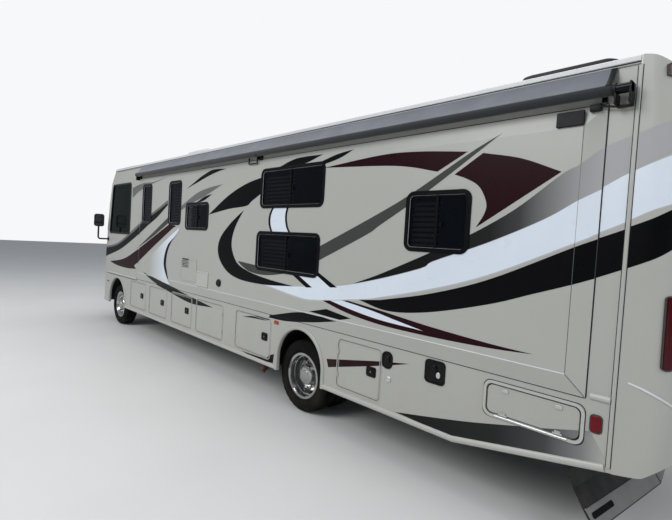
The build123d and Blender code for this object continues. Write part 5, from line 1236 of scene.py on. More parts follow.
cloth = bmesh.new()
rows, length = [], 0.0
stations = [CLOTH_REAR + (CLOTH_FRONT - CLOTH_REAR) * step / ALONG for step in range(ALONG + 1)]
stations.insert(1, CLOTH_REAR + HEM_WIDE)
for x in stations:
    section = cloth_section(x)
    length = max(length, sum(math.dist(p, q) for p, q in zip(section, section[1:])))
    upper = [cloth.verts.new((x, y, z)) for y, z in section]
    lower = [cloth.verts.new((x, y - CLOTH_THICK * 0.85, z - CLOTH_THICK * 0.5)) for y, z in section]
    rows.append(upper + lower[::-1])
for first, second in zip(rows, rows[1:]):
    count = len(first)
    for index in range(count):
        after = (index + 1) % count
        cloth.faces.new((first[index], second[index], second[after], first[after]))
cloth.faces.new(rows[0][::-1])
cloth.faces.new(rows[-1])
bmesh.ops.recalc_face_normals(cloth, faces=cloth.faces)
for face in cloth.faces:
    face.smooth = True
topper = object_of("topper_cloth", cloth, [topper_cloth, satin_black])
for polygon in topper.data.polygons:
    polygon.material_index = 1 if polygon.center.x < CLOTH_REAR + HEM_WIDE else 0
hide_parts("topper_fabric")
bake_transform(topper)

turns = [2 * math.pi * k / ROLL_STEPS + 0.6 for k in range(ROLL_STEPS)]
edge = [(ROLLER_AT[0] + roll_edge(t) * math.cos(t), ROLLER_AT[1] + roll_edge(t) * math.sin(t)) for t in turns]
wound = [[Vector((x, *point)) for point in edge]
         for x in (CLOTH_REAR, CLOTH_REAR + 0.001, CLOTH_FRONT - 0.001, CLOTH_FRONT)]
# The wound roll in the near-black cloth: painted shade for its shadowed underside.
single("topper_roll", loft(wound), roll_cloth, "slide_out")

# Roller brackets, the rear end plate with its stay to the room, the centre loop and the front hook
ARM_HALF = 0.026
rear_x, room_rear, room_front = roller_low.x, slide_low_corner.x, slide_high_corner.x
arms = []
for x in ((roller_low.x + roller_high.x) / 2, roller_high.x - 0.045):
    arms += [((x - ARM_HALF, 1.288, 2.985), (x + ARM_HALF, 1.312, 3.115), 0.006),
             ((x - ARM_HALF * 0.7, 1.300, 3.025), (x + ARM_HALF * 0.7, 1.395, 3.050), 0.006)]
plates_at = [((rear_x, 1.300, 2.958), (rear_x + 0.012, 1.396, 3.092), 0.004),
             ((rear_x + 0.080, 1.300, 2.958), (rear_x + 0.092, 1.396, 3.030), 0.004),
             ((rear_x, 1.300, 2.952), (rear_x + 0.092, 1.345, 2.966), 0.004),
             ((room_rear + 0.03, 1.290, 2.955), (room_rear + 0.10, 1.330, 3.000), 0.006),
             ((-0.608, 1.314, 2.950), (-0.592, 1.330, 3.030), 0.004),
             ((-0.798, 1.314, 2.950), (-0.782, 1.330, 3.030), 0.004),
             ((-0.80, 1.314, 2.944), (-0.59, 1.328, 2.958), 0.004),
             ((room_front + 0.004, 1.300, 2.960), (room_front + 0.018, 1.380, 3.030), 0.004)]
brackets = blocks(arms + plates_at)
brackets.append((rod((rear_x + 0.09, 1.322, 2.962), (room_rear + 0.06, 1.322, 2.985), 0.007, 12, 0.002), 0))
for x in (CLOTH_REAR - 0.014, CLOTH_FRONT + 0.014):
    brackets.append((rod((x - 0.012, *ROLLER_AT), (x + 0.012, *ROLLER_AT), 0.042, 28, 0.004), 0))
made_of("topper_brackets", brackets, [satin_black], "slide_out")

# Doors: a bead round each opening with a thin grey line inside it as painted shadow of the door gap, and a
# fine edge on each door
for side, side_name in SIDES:
    place = on_side(WALL_Y, side)
    rims = []
    for node in [n for n in node_body if n.startswith(side_name + "_bag_door")]:
        low, high = face_of(node, side)
        middle = ((low[0] + high[0]) / 2, (low[1] + high[1]) / 2)
        wide, tall = high[0] - low[0], high[1] - low[1]
        # The second row is a thin grey line just outside the door: painted shadow of the door gap.
        for grow, corner, section, finish in ((0.026, 0.052, bead(0.012, 0.005, 4), 0),
                                              (0.010, 0.044, flat_bar(0.005, 0.0015, 0.0005), 1)):
            loop = rect_loop(*middle, wide + grow, tall + grow, corner)
            rims.append((trim(loop, section, place, closed=True), finish))
        loop = rect_loop(*middle, wide - 0.024, tall - 0.024, 0.034)
        edge = trim(loop, bead(0.008, 0.003, 4), place, closed=True)
        single(node + "_edge", edge, paint, node)
    made_of(side_name + "_door_rims", rims, [paint, film["grey"]], "coach")

# Tyres: across from the middle, depth below the crown, whether the zigzag moves it
TREAD_STEPS = 120
SWAY = 0.0028
NOTCH = 0.007
TYRE_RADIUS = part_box("front_left_tyre")[1].z / 2
TYRE_ROWS = [
    (0.014, 0.0001, True), (0.0155, 0.011, True), (0.0225, 0.011, True), (0.024, 0.0003, True),
    (0.054, 0.0015, True), (0.0555, 0.012, True), (0.0625, 0.012, True), (0.064, 0.002, True),
    (0.0860, 0.004, False), (0.1000, 0.012, False), (0.1110, 0.024, False), (0.1150, 0.040, False),
    (0.1205, 0.046, False), (0.1205, 0.050, False), (0.1190, 0.053, False), (0.1225, 0.086, False),
    (0.1222, 0.100, False), (0.1175, 0.122, False), (0.1195, 0.125, False), (0.1180, 0.128, False),
    (0.1105, 0.139, False), (0.0930, 0.147, False), (0.0930, 0.164, False),
]
LUG_DEPTHS = (0.012, 0.024)


def tyre(centre_x, centre_y):
    """One tyre with zigzag grooves and shoulder lugs."""
    rings = []
    for step in range(TREAD_STEPS):
        angle = 2 * math.pi * step / TREAD_STEPS - math.pi / 2
        sway = SWAY if step // 2 % 2 else -SWAY
        ring = []
        for sign, rows in ((1, TYRE_ROWS), (-1, TYRE_ROWS[::-1])):
            for across, deep, moves in rows:
                drop = NOTCH if deep in LUG_DEPTHS and step % 4 == 0 and not moves else 0
                radius = TYRE_RADIUS - deep - drop
                place = sign * across + (sway if moves else 0)
                ring.append(Vector((centre_x + radius * math.cos(angle), centre_y + place,
                                    TYRE_RADIUS + radius * math.sin(angle))))
        rings.append(ring)
    return loft(rings, wrap=True)


# Wheel covers: across from the wheel's middle and radius, outer face from the lip to the middle
FRONT_COVER = [
    (0.1000, 0.2670), (0.1035, 0.2640), (0.1035, 0.2420), (0.0975, 0.2345), (0.0830, 0.2170),
    (0.0640, 0.1970), (0.0570, 0.1880), (0.0565, 0.1720), (0.0600, 0.1500), (0.0660, 0.1300),
    (0.0800, 0.1170), (0.0980, 0.1100), (0.1045, 0.0980), (0.1060, 0.0600), (0.1100, 0.0560),
    (0.1110, 0.0300), (0.1110, 0.0020),
]
REAR_COVER = [
    (0.1000, 0.2670), (0.1035, 0.2640), (0.1035, 0.2420), (0.0960, 0.2350), (0.0600, 0.2300),
    (0.0420, 0.2270), (0.0400, 0.2190), (0.0000, 0.2120), (-0.0250, 0.2050), (-0.0380, 0.1930),
    (-0.0420, 0.1760), (-0.0400, 0.1450), (-0.0320, 0.1330), (0.0000, 0.1220), (0.0400, 0.1170),
    (0.0560, 0.1100), (0.0630, 0.0950), (0.0650, 0.0600), (0.0690, 0.0560), (0.0700, 0.0300),
    (0.0700, 0.0020),
]
COVER_SEGMENTS = 96
HOLE_COUNT = 8
HOLE_SEGMENTS = 6
HOLE_DEEP = 0.014
NUT_COUNT = 10
NUT_CIRCLE = 0.156
VALVE_CIRCLE = 0.225
VALVE_TURN = 0.8
ALONG_X = Vector((1, 0, 0))
ALONG_Z = Vector((0, 0, 1))


def wheel_cover(rows, hole_row, centre, side):
    """A dished cover with hand holes."""
    built = bmesh.new()
    rings = []
    for across, radius in rows:
        middle = Vector((centre[0], centre[1] + side * across, centre[2]))
        spots = circle(middle, ALONG_X, ALONG_Z, radius, COVER_SEGMENTS)
        rings.append([built.verts.new(spot) for spot in spots])
    spacing = COVER_SEGMENTS // HOLE_COUNT
    for index, (first, second) in enumerate(zip(rings, rings[1:])):
        for k in range(COVER_SEGMENTS):
            after = (k + 1) % COVER_SEGMENTS
            if index == hole_row and k % spacing < HOLE_SEGMENTS:
                continue
            built.faces.new((first[k], first[after], second[after], second[k]))
    built.faces.new(rings[-1])
    bmesh.ops.recalc_face_normals(built, faces=built.faces)
    rim = set(rings[0])
    edges = [edge for edge in built.edges if edge.is_boundary and not rim.issuperset(edge.verts)]
    lip = bmesh.ops.extrude_edge_only(built, edges=edges)
    for vert in [v for v in lip["geom"] if isinstance(v, bmesh.types.BMVert)]:
        vert.co.y -= side * HOLE_DEEP
    return built


def nut(centre, side, across, angle):
    """The parts of one lug nut with its domed end."""
    x = centre[0] + NUT_CIRCLE * math.cos(angle)
    z = centre[2] + NUT_CIRCLE * math.sin(angle)
    y = centre[1] + side * across
    return [(rod((x, y, z), (x, y + side * 0.022, z), 0.0145, 6, 0.003), 0),
            (rod((x, y + side * 0.020, z), (x, y + side * 0.030, z), 0.010, 12, 0.005), 0)]


def dress_wheels(body, tyre_node, side, covers, nut_seat, hole_row):
    """Tyres, cover, nuts and valve of one wheel body."""
    boxes = sorted(islands(tyre_node), key=lambda box: -side * box[0].y)
    tread = [(tyre((low.x + high.x) / 2, (low.y + high.y) / 2), 0) for low, high in boxes]
    made = made_of(tyre_node + "_treaded", tread, [tyre_rubber], body)
    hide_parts(tyre_node)
    low, high = boxes[0]
    centre = ((low.x + high.x) / 2, (low.y + high.y) / 2, TYRE_RADIUS)
    cover = [(wheel_cover(covers, hole_row, centre, side), 0)]
    for index in range(NUT_COUNT):
        cover += nut(centre, side, nut_seat, 2 * math.pi * (index + 0.5) / NUT_COUNT)
    well = [(covers[hole_row][0] - 0.020, 0.216), (covers[hole_row][0] - 0.022, 0.165)]
    rings = [circle(Vector((centre[0], centre[1] + side * across, centre[2])), ALONG_X, ALONG_Z, radius, 48)
             for across, radius in well]
    cover.append((loft(rings, caps=False), 1))
    valve = Vector((centre[0] + VALVE_CIRCLE * math.cos(VALVE_TURN), centre[1] + side * (covers[5][0] - 0.01),
                    centre[2] + VALVE_CIRCLE * math.sin(VALVE_TURN)))
    cover.append((rod(valve, valve + Vector((-0.02, side * 0.045, -0.02)), 0.0045, 10, 0.001), 0))
    made_of(body.replace("wheels", "wheel") + "_cover", cover, [wheel_chrome, shade_black], body)


for side, side_name in SIDES:
    dress_wheels("front_%s_wheel" % side_name, "front_%s_tyre" % side_name, side, FRONT_COVER, 0.058, 5)
    dress_wheels("rear_%s_wheels" % side_name, "rear_%s_tyres" % side_name, side, REAR_COVER, -0.041, 9)

# Roof units: low shrouds with side louvres, domed vents
ROOF_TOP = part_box("roof")[1].z
SINK = 0.018
SHROUD_FROM = 0.5
VENT_FROM = 0.3


def air_conditioner(middle, wide, base, rise, finish):
    """A shroud on a dark pan, with louvres at its sides and its rear end."""
    rows = [(0.004, 0.05), (0.008, rise * 0.60), (0.016, rise * 0.82), (0.035, rise * 0.92),
            (0.080, rise * 0.98), (0.170, rise)]
    place = on_top(base)
    parts = [(stacked(middle.x, middle.y, *wide, 0.06, [(0, 0), (0, 0.05), (0.006, 0.055)], place), 2),
             (stacked(middle.x, middle.y, *wide, 0.14, rows, place, 8), finish)]
    for side in (1, -1):
        y = middle.y + side * (wide[1] / 2 - 0.012)
        for step in range(4):
            height = base + 0.085 + step * 0.020
            ends = [(middle.x + reach, y, height) for reach in (-0.26, 0.26)]
            parts.append((rod(*ends, 0.007, 8, 0.002), 2))
    rear_x = middle.x - wide[0] / 2
    for step in range(9):
        y = middle.y - 0.20 + step * 0.05
        ends = [(rear_x + 0.016, y, base + 0.09), (rear_x + 0.020, y, base + 0.15)]
        parts.append((rod(*ends, 0.006, 8, 0.002), 2))
    return parts


def roof_vent(middle, wide, base, rise):
    """A square vent with a domed lid."""
    lid = [(0.0, 0.056), (0.0, rise * 0.80), (0.012, rise * 0.90), (0.05, rise * 0.97), (0.10, rise)]
    return plates(on_top(base), [
        (middle.x, middle.y, *wide, 0.03, [(0, 0), (0, 0.05), (0.004, 0.054)], 3),
        (middle.x, middle.y, wide[0] + 0.01, wide[1] + 0.01, 0.04, lid, 3)])


shrouds = []
for low, high in sorted(islands("roof_units"), key=lambda box: box[0].x):
    middle = (low + high) / 2
    wide = (high.x - low.x, high.y - low.y)
    base = ROOF_TOP - SINK - (abs(middle.y) > 0.3) * 0.03
    rise = high.z - base
    if wide[0] > SHROUD_FROM:
        shrouds += air_conditioner(middle, wide, base, rise, 0 if middle.x < 0 else 1)
    elif wide[0] > VENT_FROM:
        shrouds += roof_vent(middle, wide, base, rise)
    else:
        pipe = ((0.040, base - 0.02, high.z - 0.02, 0.0), (0.058, high.z - 0.035, high.z, 0.010))
        shrouds += [(rod((middle.x, middle.y, foot), (middle.x, middle.y, top), radius, 24, ease), 3)
                    for radius, foot, top, ease in pipe]
made = made_of("roof_shrouds", shrouds, [shroud_dark, shroud_pale, satin_black, pale_trim], "coach")
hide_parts("roof_units")

# Mirrors: moulded heads on bent arms
mirror_low, mirror_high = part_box("mirrors")
MIRROR_X = (mirror_low.x + mirror_high.x) / 2
MIRROR_Y = mirror_high.y - 0.100
HEAD_Z = mirror_high.z - 0.135
FOOT_Z = mirror_low.z + 0.018
HEAD_ROWS = [(-0.046, 0.010), (-0.048, 0.004), (-0.040, 0.0), (0.000, 0.004), (0.030, 0.020), (0.045, 0.045),
             (0.049, 0.075)]
heads = []
for side in (1, -1):
    rings = []
    for x, inset in HEAD_ROWS:
        corner = max(0.004, 0.045 - inset * 0.5)
        loop = rect_loop(side * MIRROR_Y, HEAD_Z, 0.200 - 2 * inset, 0.270 - 2 * inset, corner, 6)
        rings.append([Vector((MIRROR_X + x, *spot)) for spot in loop])
    heads.append((loft(rings), 0))
    for centre_z, tall in ((HEAD_Z + 0.035, 0.165), (HEAD_Z - 0.092, 0.060)):
        loop = rect_loop(side * MIRROR_Y, centre_z, 0.164, tall, 0.018, 6)
        rings = [[Vector((MIRROR_X - 0.048 - out, *spot)) for spot in loop] for out in (0.0, 0.0015)]
        heads.append((loft(rings), 1))
    arm = bent([(MIRROR_X, side * (WALL_Y + 0.002), FOOT_Z), (MIRROR_X, side * MIRROR_Y, FOOT_Z),
                (MIRROR_X, side * MIRROR_Y, HEAD_Z - 0.12)], 0.05)
    heads.append((tube(arm, 0.017, 14), 0))
    foot = [(0, 0), (0, 0.012), (0.006, 0.018), (0.020, 0.020)]
    heads += plates(on_side(WALL_Y, side), [(MIRROR_X, FOOT_Z, 0.060, 0.075, 0.022, foot, 0)])
made = made_of("mirror_heads", heads, [gloss_black, chrome], "coach")
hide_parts("mirrors")

# Back: crease, lamp bezels, marker lamps, camera hood, blank plate and the guard's slotted foot
tail_tree = skin_tree("rear_cap")
tail_skin = on_skin(tail_tree, 1)
CREASE = [(-5.033, 1.2825, 1.227), (-5.094, 1.268, 1.208), (-5.166, 1.235, 1.171), (-5.240, 1.165, 1.115),
          (-5.285, 1.05, 1.075), (-5.305, 0.85, 1.052), (-5.313, 0.5, 1.040), (-5.315, 0.0, 1.036)]
CREASE_STEPS = 5
around = [Vector(p) for p in CREASE] + [Vector((x, -y, z)) for x, y, z in CREASE[-2::-1]]
line, outward = [], []
for first, second in zip(around, around[1:]):
    for step in range(CREASE_STEPS):
        near = first + (second - first) * step / CREASE_STEPS
        way = (near - Vector((-4.75, near.y * 0.75, near.z))).normalized()
        spot, normal, _, _ = tail_tree.ray_cast(near + way * 0.4, -way)
        line.append(spot)
        outward.append(normal)
# The crease bead in bright white: painted highlight along the rear cap's character line.
back_trim = [(run_on_skin(line, outward, bead(0.015, 0.007, 8)), 0)]
LAMP_ROWS = [(1.345, 1.785, 1.060, 1.240), (3.113, 3.186, 1.060, 1.265)]
for side in (1, -1):
    for low_z, high_z, inner, outer in LAMP_ROWS:
        loop = rect_loop(side * (inner + outer) / 2, (low_z + high_z) / 2, outer - inner + 0.010,
                         high_z - low_z + 0.014, 0.020, 4)
        back_trim.append((trim(loop, flat_bar(0.005, 0.012, 0.002), tail_skin, closed=True), 1))
made_of("rear_cap_trim", back_trim, [white_metal, dark_plastic], "coach")
marker_steps = [(0, 0), (0, 0.010), (0.005, 0.016)]
markers = plates(tail_skin, [(y, 3.155, 0.090, 0.034, 0.015, marker_steps, 0) for y in (-0.19, 0.0, 0.19)])
made_of("rear_marker_lamps", markers, [red_lens], "coach")
fittings = plates(tail_skin, [
    (0.0, 3.050, 0.130, 0.085, 0.025, [(0, 0), (0, 0.040), (0.010, 0.055)], 0),
    (0.0, 1.180, 0.360, 0.210, 0.030, [(0, 0), (0, 0.006), (0.006, 0.009), (0.018, 0.003)], 0),
    (0.0, 1.178, 0.300, 0.152, 0.010, [(0, 0.003), (0, 0.006), (0.002, 0.007)], 1),
    (0.0, 1.305, 0.110, 0.034, 0.012, [(0, 0), (0, 0.022), (0.006, 0.026)], 0)])
made_of("rear_fittings", fittings, [satin_black, white_metal], "coach")

# The guard's slotted foot, on the swept and leaning rear face of the rubber
guard_low, guard_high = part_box("rock_guard")
GUARD_SWEEP = 0.130
GUARD_THICK = 0.010
# Height above the guard's foot, and how far the face is set back there from its top
GUARD_ROWS = [(0.0, 0.180), (0.125, 0.095), (0.240, 0.025), (0.345, 0.0), (1.0, 0.0)]
STRIP_TALL = 0.112
STRIP_STEPS = [(0, 0), (0, 0.006), (0.002, 0.007)]
SLOT_INWARD = 0.21


def guard_place(a, b, out=0.0):
    """A place on the guard's rear face, across and up."""
    back = GUARD_SWEEP * (1 - abs(a) / guard_high.y)
    for (low, behind), (high, after) in zip(GUARD_ROWS, GUARD_ROWS[1:]):
        if low <= b - guard_low.z <= high:
            back += behind + (after - behind) * (b - guard_low.z - low) / (high - low)
    return Vector((guard_high.x - back - GUARD_THICK - out, a, b))


reach = guard_high.y - 0.020
strip_z, slot_z = guard_low.z + 0.066, guard_low.z + 0.074
guard = []
for side in (1, -1):
    guard += plates(guard_place, [
        (side * (0.010 + reach / 2), strip_z, reach, STRIP_TALL, 0.006, STRIP_STEPS, 0),
        (side * (guard_high.y - SLOT_INWARD), slot_z, 0.33, 0.036, 0.017, [(0, 0.0065), (0.002, 0.0078)], 1)])
made_of("guard_slotted_foot", guard, [steel, shade_black], "coach")
tip_path = [(-1.055, 1.195, 0.372), (-1.055, 1.235, 0.352), (-1.055, 1.268, 0.322)]
single("exhaust_tip", tube(tip_path, 0.044, 24), rusty_pipe, "coach")

# Front: windscreen border and centre post, grille, headlamp rims, wipers and marker lamps
nose_tree = skin_tree("front_cap", "front_bumper", "windscreen")
nose_skin = on_skin(nose_tree, -1)
SCREEN_LOW, SCREEN_HIGH, SCREEN_HALF = 1.620, 2.960, 1.130
screen_corners = [(SCREEN_HALF, SCREEN_LOW), (SCREEN_HALF, SCREEN_HIGH), (-SCREEN_HALF, SCREEN_HIGH),
                  (-SCREEN_HALF, SCREEN_LOW)]
loop = []
for start, end, steps in zip(screen_corners, screen_corners[1:] + screen_corners[:1], (14, 24, 14, 24)):
    loop += between(start, end, steps)[:-1]
post = between((0.0, SCREEN_LOW + 0.02), (0.0, SCREEN_HIGH - 0.02), 14)
border = [(trim(loop, flat_bar(0.050, 0.009, 0.004), nose_skin, closed=True), 0),
          (trim(post, flat_bar(0.034, 0.009, 0.004), nose_skin), 0)]
made_of("windscreen_border", border, [satin_black], "coach")

# Pale moulding round the front top corner and down the windscreen pillar
PILLAR = [(150, 163.2), (139, 165.6), (119, 169), (115.5, 172), (113, 177.5),
          (111, 191), (110, 210), (108, 230), (106, 241)]
PILLAR_STEPS = 3
corner_tree = skin_tree("front_cap", "roof", "left_wall")
hits = []
for (u0, v0), (u1, v1) in zip(PILLAR, PILLAR[1:]):
    for step in range(PILLAR_STEPS):
        t = step / PILLAR_STEPS
        ray = sight_line(u0 + (u1 - u0) * t, v0 + (v1 - v0) * t)
        hits.append(corner_tree.ray_cast(CAMERA_AT, ray))
for side, side_name in SIDES:
    line, outward = [[Vector((hit[part].x, side * hit[part].y, hit[part].z))
                      for hit in hits if hit[0] is not None]
                     for part in (0, 1)]
    single(side_name + "_pillar_moulding", run_on_skin(line, outward, bead(0.026, 0.010, 6)), pale_trim,
           "coach")


def bars_across(rows, section, finish):
    """Bars across the nose, from rows of height and half length."""
    return [(trim(between((-half, z), (half, z), 24), section, nose_skin), finish) for z, half in rows]


grille_loop = between((-0.60, 0.745), (0.60, 0.745), 24) + between((0.66, 0.880), (-0.66, 0.880), 24)
grille = bars_across(((0.775, 0.60), (0.800, 0.61), (0.825, 0.62), (0.850, 0.63)), bead(0.014, 0.014, 6), 1)
grille.append((trim(grille_loop, flat_bar(0.026, 0.010, 0.004), nose_skin, closed=True), 0))
grille += bars_across(((0.500, 0.70), (0.530, 0.70), (0.560, 0.70)), bead(0.016, 0.010, 6), 0)
made_of("front_grille", grille, [satin_black, chrome], "coach")

HEADLAMP_Z = 0.980
BULB_STEPS = [(0, 0.0105), (0, 0.013), (0.008, 0.017), (0.030, 0.012)]
lamp_rims = []
for side in (1, -1):
    lamp_loop = rect_loop(side * 0.920, HEADLAMP_Z, 0.346, 0.184, 0.030, 5)
    lamp_rims.append((trim(lamp_loop, flat_bar(0.018, 0.018, 0.004), nose_skin, closed=True), 0))
    for y in (0.845, 0.985):
        lamp_rims.append((stacked(side * y, HEADLAMP_Z, 0.110, 0.110, 0.054, BULB_STEPS, nose_skin, 8), 1))
    lamp_rims += plates(nose_skin, [(side * 1.050, HEADLAMP_Z, 0.040, 0.130, 0.012,
                                     [(0, 0.010), (0, 0.013), (0.006, 0.016)], 2)])
made_of("headlamp_rims", lamp_rims, [gloss_black, chrome, amber_lens], "coach")

wipers = []
for side in (1, -1):
    foot = (side * 0.22, SCREEN_LOW - 0.045)
    pivot = nose_skin(*foot, 0.020)
    tip = nose_skin(side * 0.80, SCREEN_LOW + 0.045, 0.022)
    blade = [nose_skin(side * (0.42 + 0.060 * k), SCREEN_LOW + 0.020 + 0.010 * k, 0.012) for k in range(11)]
    wipers += [(rod(nose_skin(*foot, 0.0), pivot, 0.018, 14, 0.004), 0),
               (tube([pivot, pivot * 0.5 + tip * 0.5 + Vector((0.004, 0, 0.004)), tip], 0.007, 8), 0),
               (tube(blade, 0.006, 6), 0)]
made_of("wipers", wipers, [satin_black], "coach")
clearance = [(y, 3.110, 0.100, 0.036, 0.016, [(0, 0), (0, 0.012), (0.005, 0.018)], 0)
             for y in (-0.95, -0.19, 0.0, 0.19, 0.95)]
made_of("front_marker_lamps", plates(nose_skin, clearance), [amber_lens], "coach")

# Right side: entry door furniture, grab rail, awning fittings, vents and doors of the services
FRAME_STEPS = [(0, 0), (0, 0.008), (0.005, 0.012), (0.022, 0.006)]
STORAGE_STEPS = [(0, 0), (0, 0.006), (0.005, 0.010), (0.022, 0.010), (0.026, 0.004)]
door_low, door_high = face_of("entry_door", -1)
window_low, window_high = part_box("entry_door_pane")
window_loop = rect_loop((window_low.x + window_high.x) / 2, (window_low.z + window_high.z) / 2,
                        window_high.x - window_low.x + 0.03, window_high.z - window_low.z + 0.03, 0.05)
handle_x, handle_y = door_low[0] + 0.085, -WALL_Y - 0.018
kick = [(door_low[0] + 0.05, 0.60), (door_high[0] - 0.05, 0.60)]
entry = plates(right_place, [(handle_x, 1.560, 0.090, 0.150, 0.020,
                              [(0, 0), (0, 0.008), (0.005, 0.012), (0.018, 0.004)], 0)])
entry += [(trim(window_loop, flat_bar(0.034, 0.008, 0.003), right_place, closed=True), 0),
          (rod((handle_x, handle_y, 1.505), (handle_x, handle_y, 1.615), 0.010, 12, 0.004), 1),
          (trim(kick, flat_bar(0.060, 0.003, 0.001), right_place), 1)]
made_of("entry_door_furniture", entry, [satin_black, chrome], "entry_door")

RAIL_X, RAIL_ENDS, RAIL_OUT = 1.400, (1.25, 2.05), 0.070
low_end, high_end = RAIL_ENDS
rail = bent([(RAIL_X, -WALL_Y, low_end), (RAIL_X, -WALL_Y - RAIL_OUT, low_end),
             (RAIL_X, -WALL_Y - RAIL_OUT, high_end), (RAIL_X, -WALL_Y, high_end)], 0.03)
grab = [(tube(rail, 0.013, 12), 0)]
grab += plates(right_place, [(RAIL_X, z, 0.060, 0.060, 0.028, [(0, 0), (0, 0.006), (0.004, 0.009)], 0)
                             for z in RAIL_ENDS])
made_of("entry_grab_rail", grab, [chrome], "coach")

# Fridge vent, furnace vent, storage door, filler and porch lamp
services = plates(right_place, [
    (0.95, 1.330, 0.560, 0.400, 0.025, FRAME_STEPS, 0),
    (-2.35, 1.330, 0.420, 0.420, 0.025, FRAME_STEPS, 0),
    (-4.45, 0.800, 0.340, 0.240, 0.030, STORAGE_STEPS, 0),
    (4.70, 1.330, 0.180, 0.180, 0.060, [(0, 0), (0, 0.006), (0.005, 0.009), (0.014, 0.003)], 0),
    (1.25, 2.300, 0.080, 0.110, 0.016, [(0, 0), (0, 0.020), (0.008, 0.030)], 1)])
for x, wide, tall in ((0.95, 0.480, 0.300), (-2.35, 0.340, 0.320)):
    services.append((louvres(x, 1.330, wide, tall, 0.026, on_side(WALL_Y + 0.006, -1)), 0))
made_of("right_service_doors", services, [pale_trim, amber_lens], "coach")

AWNING_TUBE = (-1.3575, 3.090)
awning_low, awning_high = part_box("patio_awning")
awning = []
for x, way in ((awning_low.x, 1), (awning_high.x, -1)):
    ends = [(x - way * 0.012, *AWNING_TUBE), (x + way * 0.05, *AWNING_TUBE)]
    awning.append((rod(*ends, 0.0555, 32, 0.006), 0))
    arm_x = x + way * 0.030
    awning += blocks([((arm_x - 0.026, -1.352, 1.895), (arm_x + 0.026, -1.284, 3.03), 0.008)], 1)
    awning += blocks([((arm_x - 0.015, -1.372, 2.02), (arm_x + 0.015, -1.350, 3.05), 0.006)])
awning += blocks([((awning_low.x - 0.02, -1.306, 3.138), (awning_high.x + 0.02, -1.284, 3.168), 0.006)], 1)
made_of("awning_fittings", awning, [satin_black, white_metal], "coach")

# Dash: instrument hood, vents and the centre panel
dash = [(rounded_block((4.33, 0.34, 1.585), (4.52, 0.80, 1.70), 0.045, 4), 0)]
dash += blocks([((4.395, y - 0.055, 1.535), (4.425, y + 0.055, 1.59), 0.010)
                for y in (-0.95, -0.35, 0.18, 0.98)])
dash += blocks([((4.36, -0.16, 1.42), (4.40, 0.14, 1.60), 0.010)])
made_of("dash_fittings", dash, [dark_plastic], "coach")

# Cab seats: plinths, slides, and cushions and backs swollen by a cloth simulation
seats_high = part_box("cab_seats")[1]
FLOOR_TOP = seats_high.z - 1.180
SEAT_X = seats_high.x - 0.520
SEAT_Y = seats_high.y - 0.260
SEAT_HALF = 0.260
PAD_VOXEL = 0.009
PAD_CAP = 0.016
PAD_SHRINK = 0.014
PAD_FRAMES = 20
PAD_PRESSURE = 4.0
CHANNEL_DEEP = 0.007
CHANNEL_WIDE = 0.012
CHANNEL_APART = 0.145
BACK_LEAN = 0.150 / 0.780


def seat_pad(name, low, high, lean):
    """A rounded cushion block, remeshed finely. A back leans rearward with its height."""
    built = rounded_block([c + PAD_SHRINK for c in low], [c - PAD_SHRINK for c in high], 0.040, 4)
    for vert in built.verts:
        vert.co.x -= lean * (vert.co.z - low[2])
    made = object_of(name, built, [])
    remesh = made.modifiers.new("remesh", "REMESH")
    remesh.mode = "VOXEL"
    remesh.voxel_size = PAD_VOXEL
    return apply_modifiers(made)


def apply_modifiers(made):
    """Puts an object's modified shape into its mesh and takes the modifiers off."""
    shape = bpy.data.meshes.new_from_object(made.evaluated_get(bpy.context.evaluated_depsgraph_get()))
    shape.name = made.name
    made.modifiers.clear()
    made.data = shape
    return made


def swell(pads):
    """Fills the pads under cloth pressure, each point moved no farther than the cap."""
    rests = []
    for made in pads:
        rests.append([vert.co.copy() for vert in made.data.vertices])
        cloth_part = made.modifiers.new("cloth", "CLOTH").settings
        cloth_part.use_pressure = True
        cloth_part.uniform_pressure_force = PAD_PRESSURE
        cloth_part.effector_weights.gravity = 0.0
    for number in range(1, PAD_FRAMES + 1):
        bpy.context.scene.frame_set(number)
    for made, rest in zip(pads, rests):
        apply_modifiers(made)
        for vert, start in zip(made.data.vertices, rest):
            moved = vert.co - start
            if moved.length > PAD_CAP:
                vert.co = start + moved.normalized() * PAD_CAP
    bpy.context.scene.frame_set(1)


def seat_base(y):
    """The parts of a seat's plinth, turntable, slides, pan and lever."""
    plinth = rounded_block((SEAT_X + 0.07, y - 0.150, FLOOR_TOP + 0.002),
                           (SEAT_X + 0.41, y + 0.150, FLOOR_TOP + 0.245), 0.020, 3)
    table_at, lever_at = (SEAT_X + 0.24, y), (SEAT_X + 0.47, FLOOR_TOP + 0.285)
    parts = [(plinth, 0),
             (rod((*table_at, FLOOR_TOP + 0.243), (*table_at, FLOOR_TOP + 0.268), 0.150, 40, 0.004), 1)]
    for shift in (0.125, -0.125):
        parts += blocks([((SEAT_X + 0.05, y + shift - 0.018, FLOOR_TOP + 0.266),
                          (SEAT_X + 0.45, y + shift + 0.018, FLOOR_TOP + 0.300), 0.006)], 1)
    parts += blocks([((SEAT_X + 0.03, y - 0.225, FLOOR_TOP + 0.298),
                      (SEAT_X + 0.49, y + 0.225, FLOOR_TOP + 0.338), 0.012)])
    parts.append((rod((lever_at[0], y - 0.05, lever_at[1]), (lever_at[0], y + 0.15, lever_at[1]), 0.008), 1))
    return parts


def sew_channels(made, middle, cushion):
    """Presses the sewn channels into a pad's front or top."""
    for vert in made.data.vertices:
        across = abs(abs(vert.co.y - middle) - CHANNEL_APART)
        along = abs(vert.co.x - SEAT_X - 0.33) if cushion else abs(vert.co.z - FLOOR_TOP - 0.96)
        groove = math.exp(-(across / CHANNEL_WIDE) ** 2)
        if abs(vert.co.y - middle) < 0.150:
            groove = max(groove, math.exp(-(along / CHANNEL_WIDE) ** 2))
        if (vert.normal.z if cushion else vert.normal.x) > 0.5:
            vert.co -= vert.normal * CHANNEL_DEEP * groove


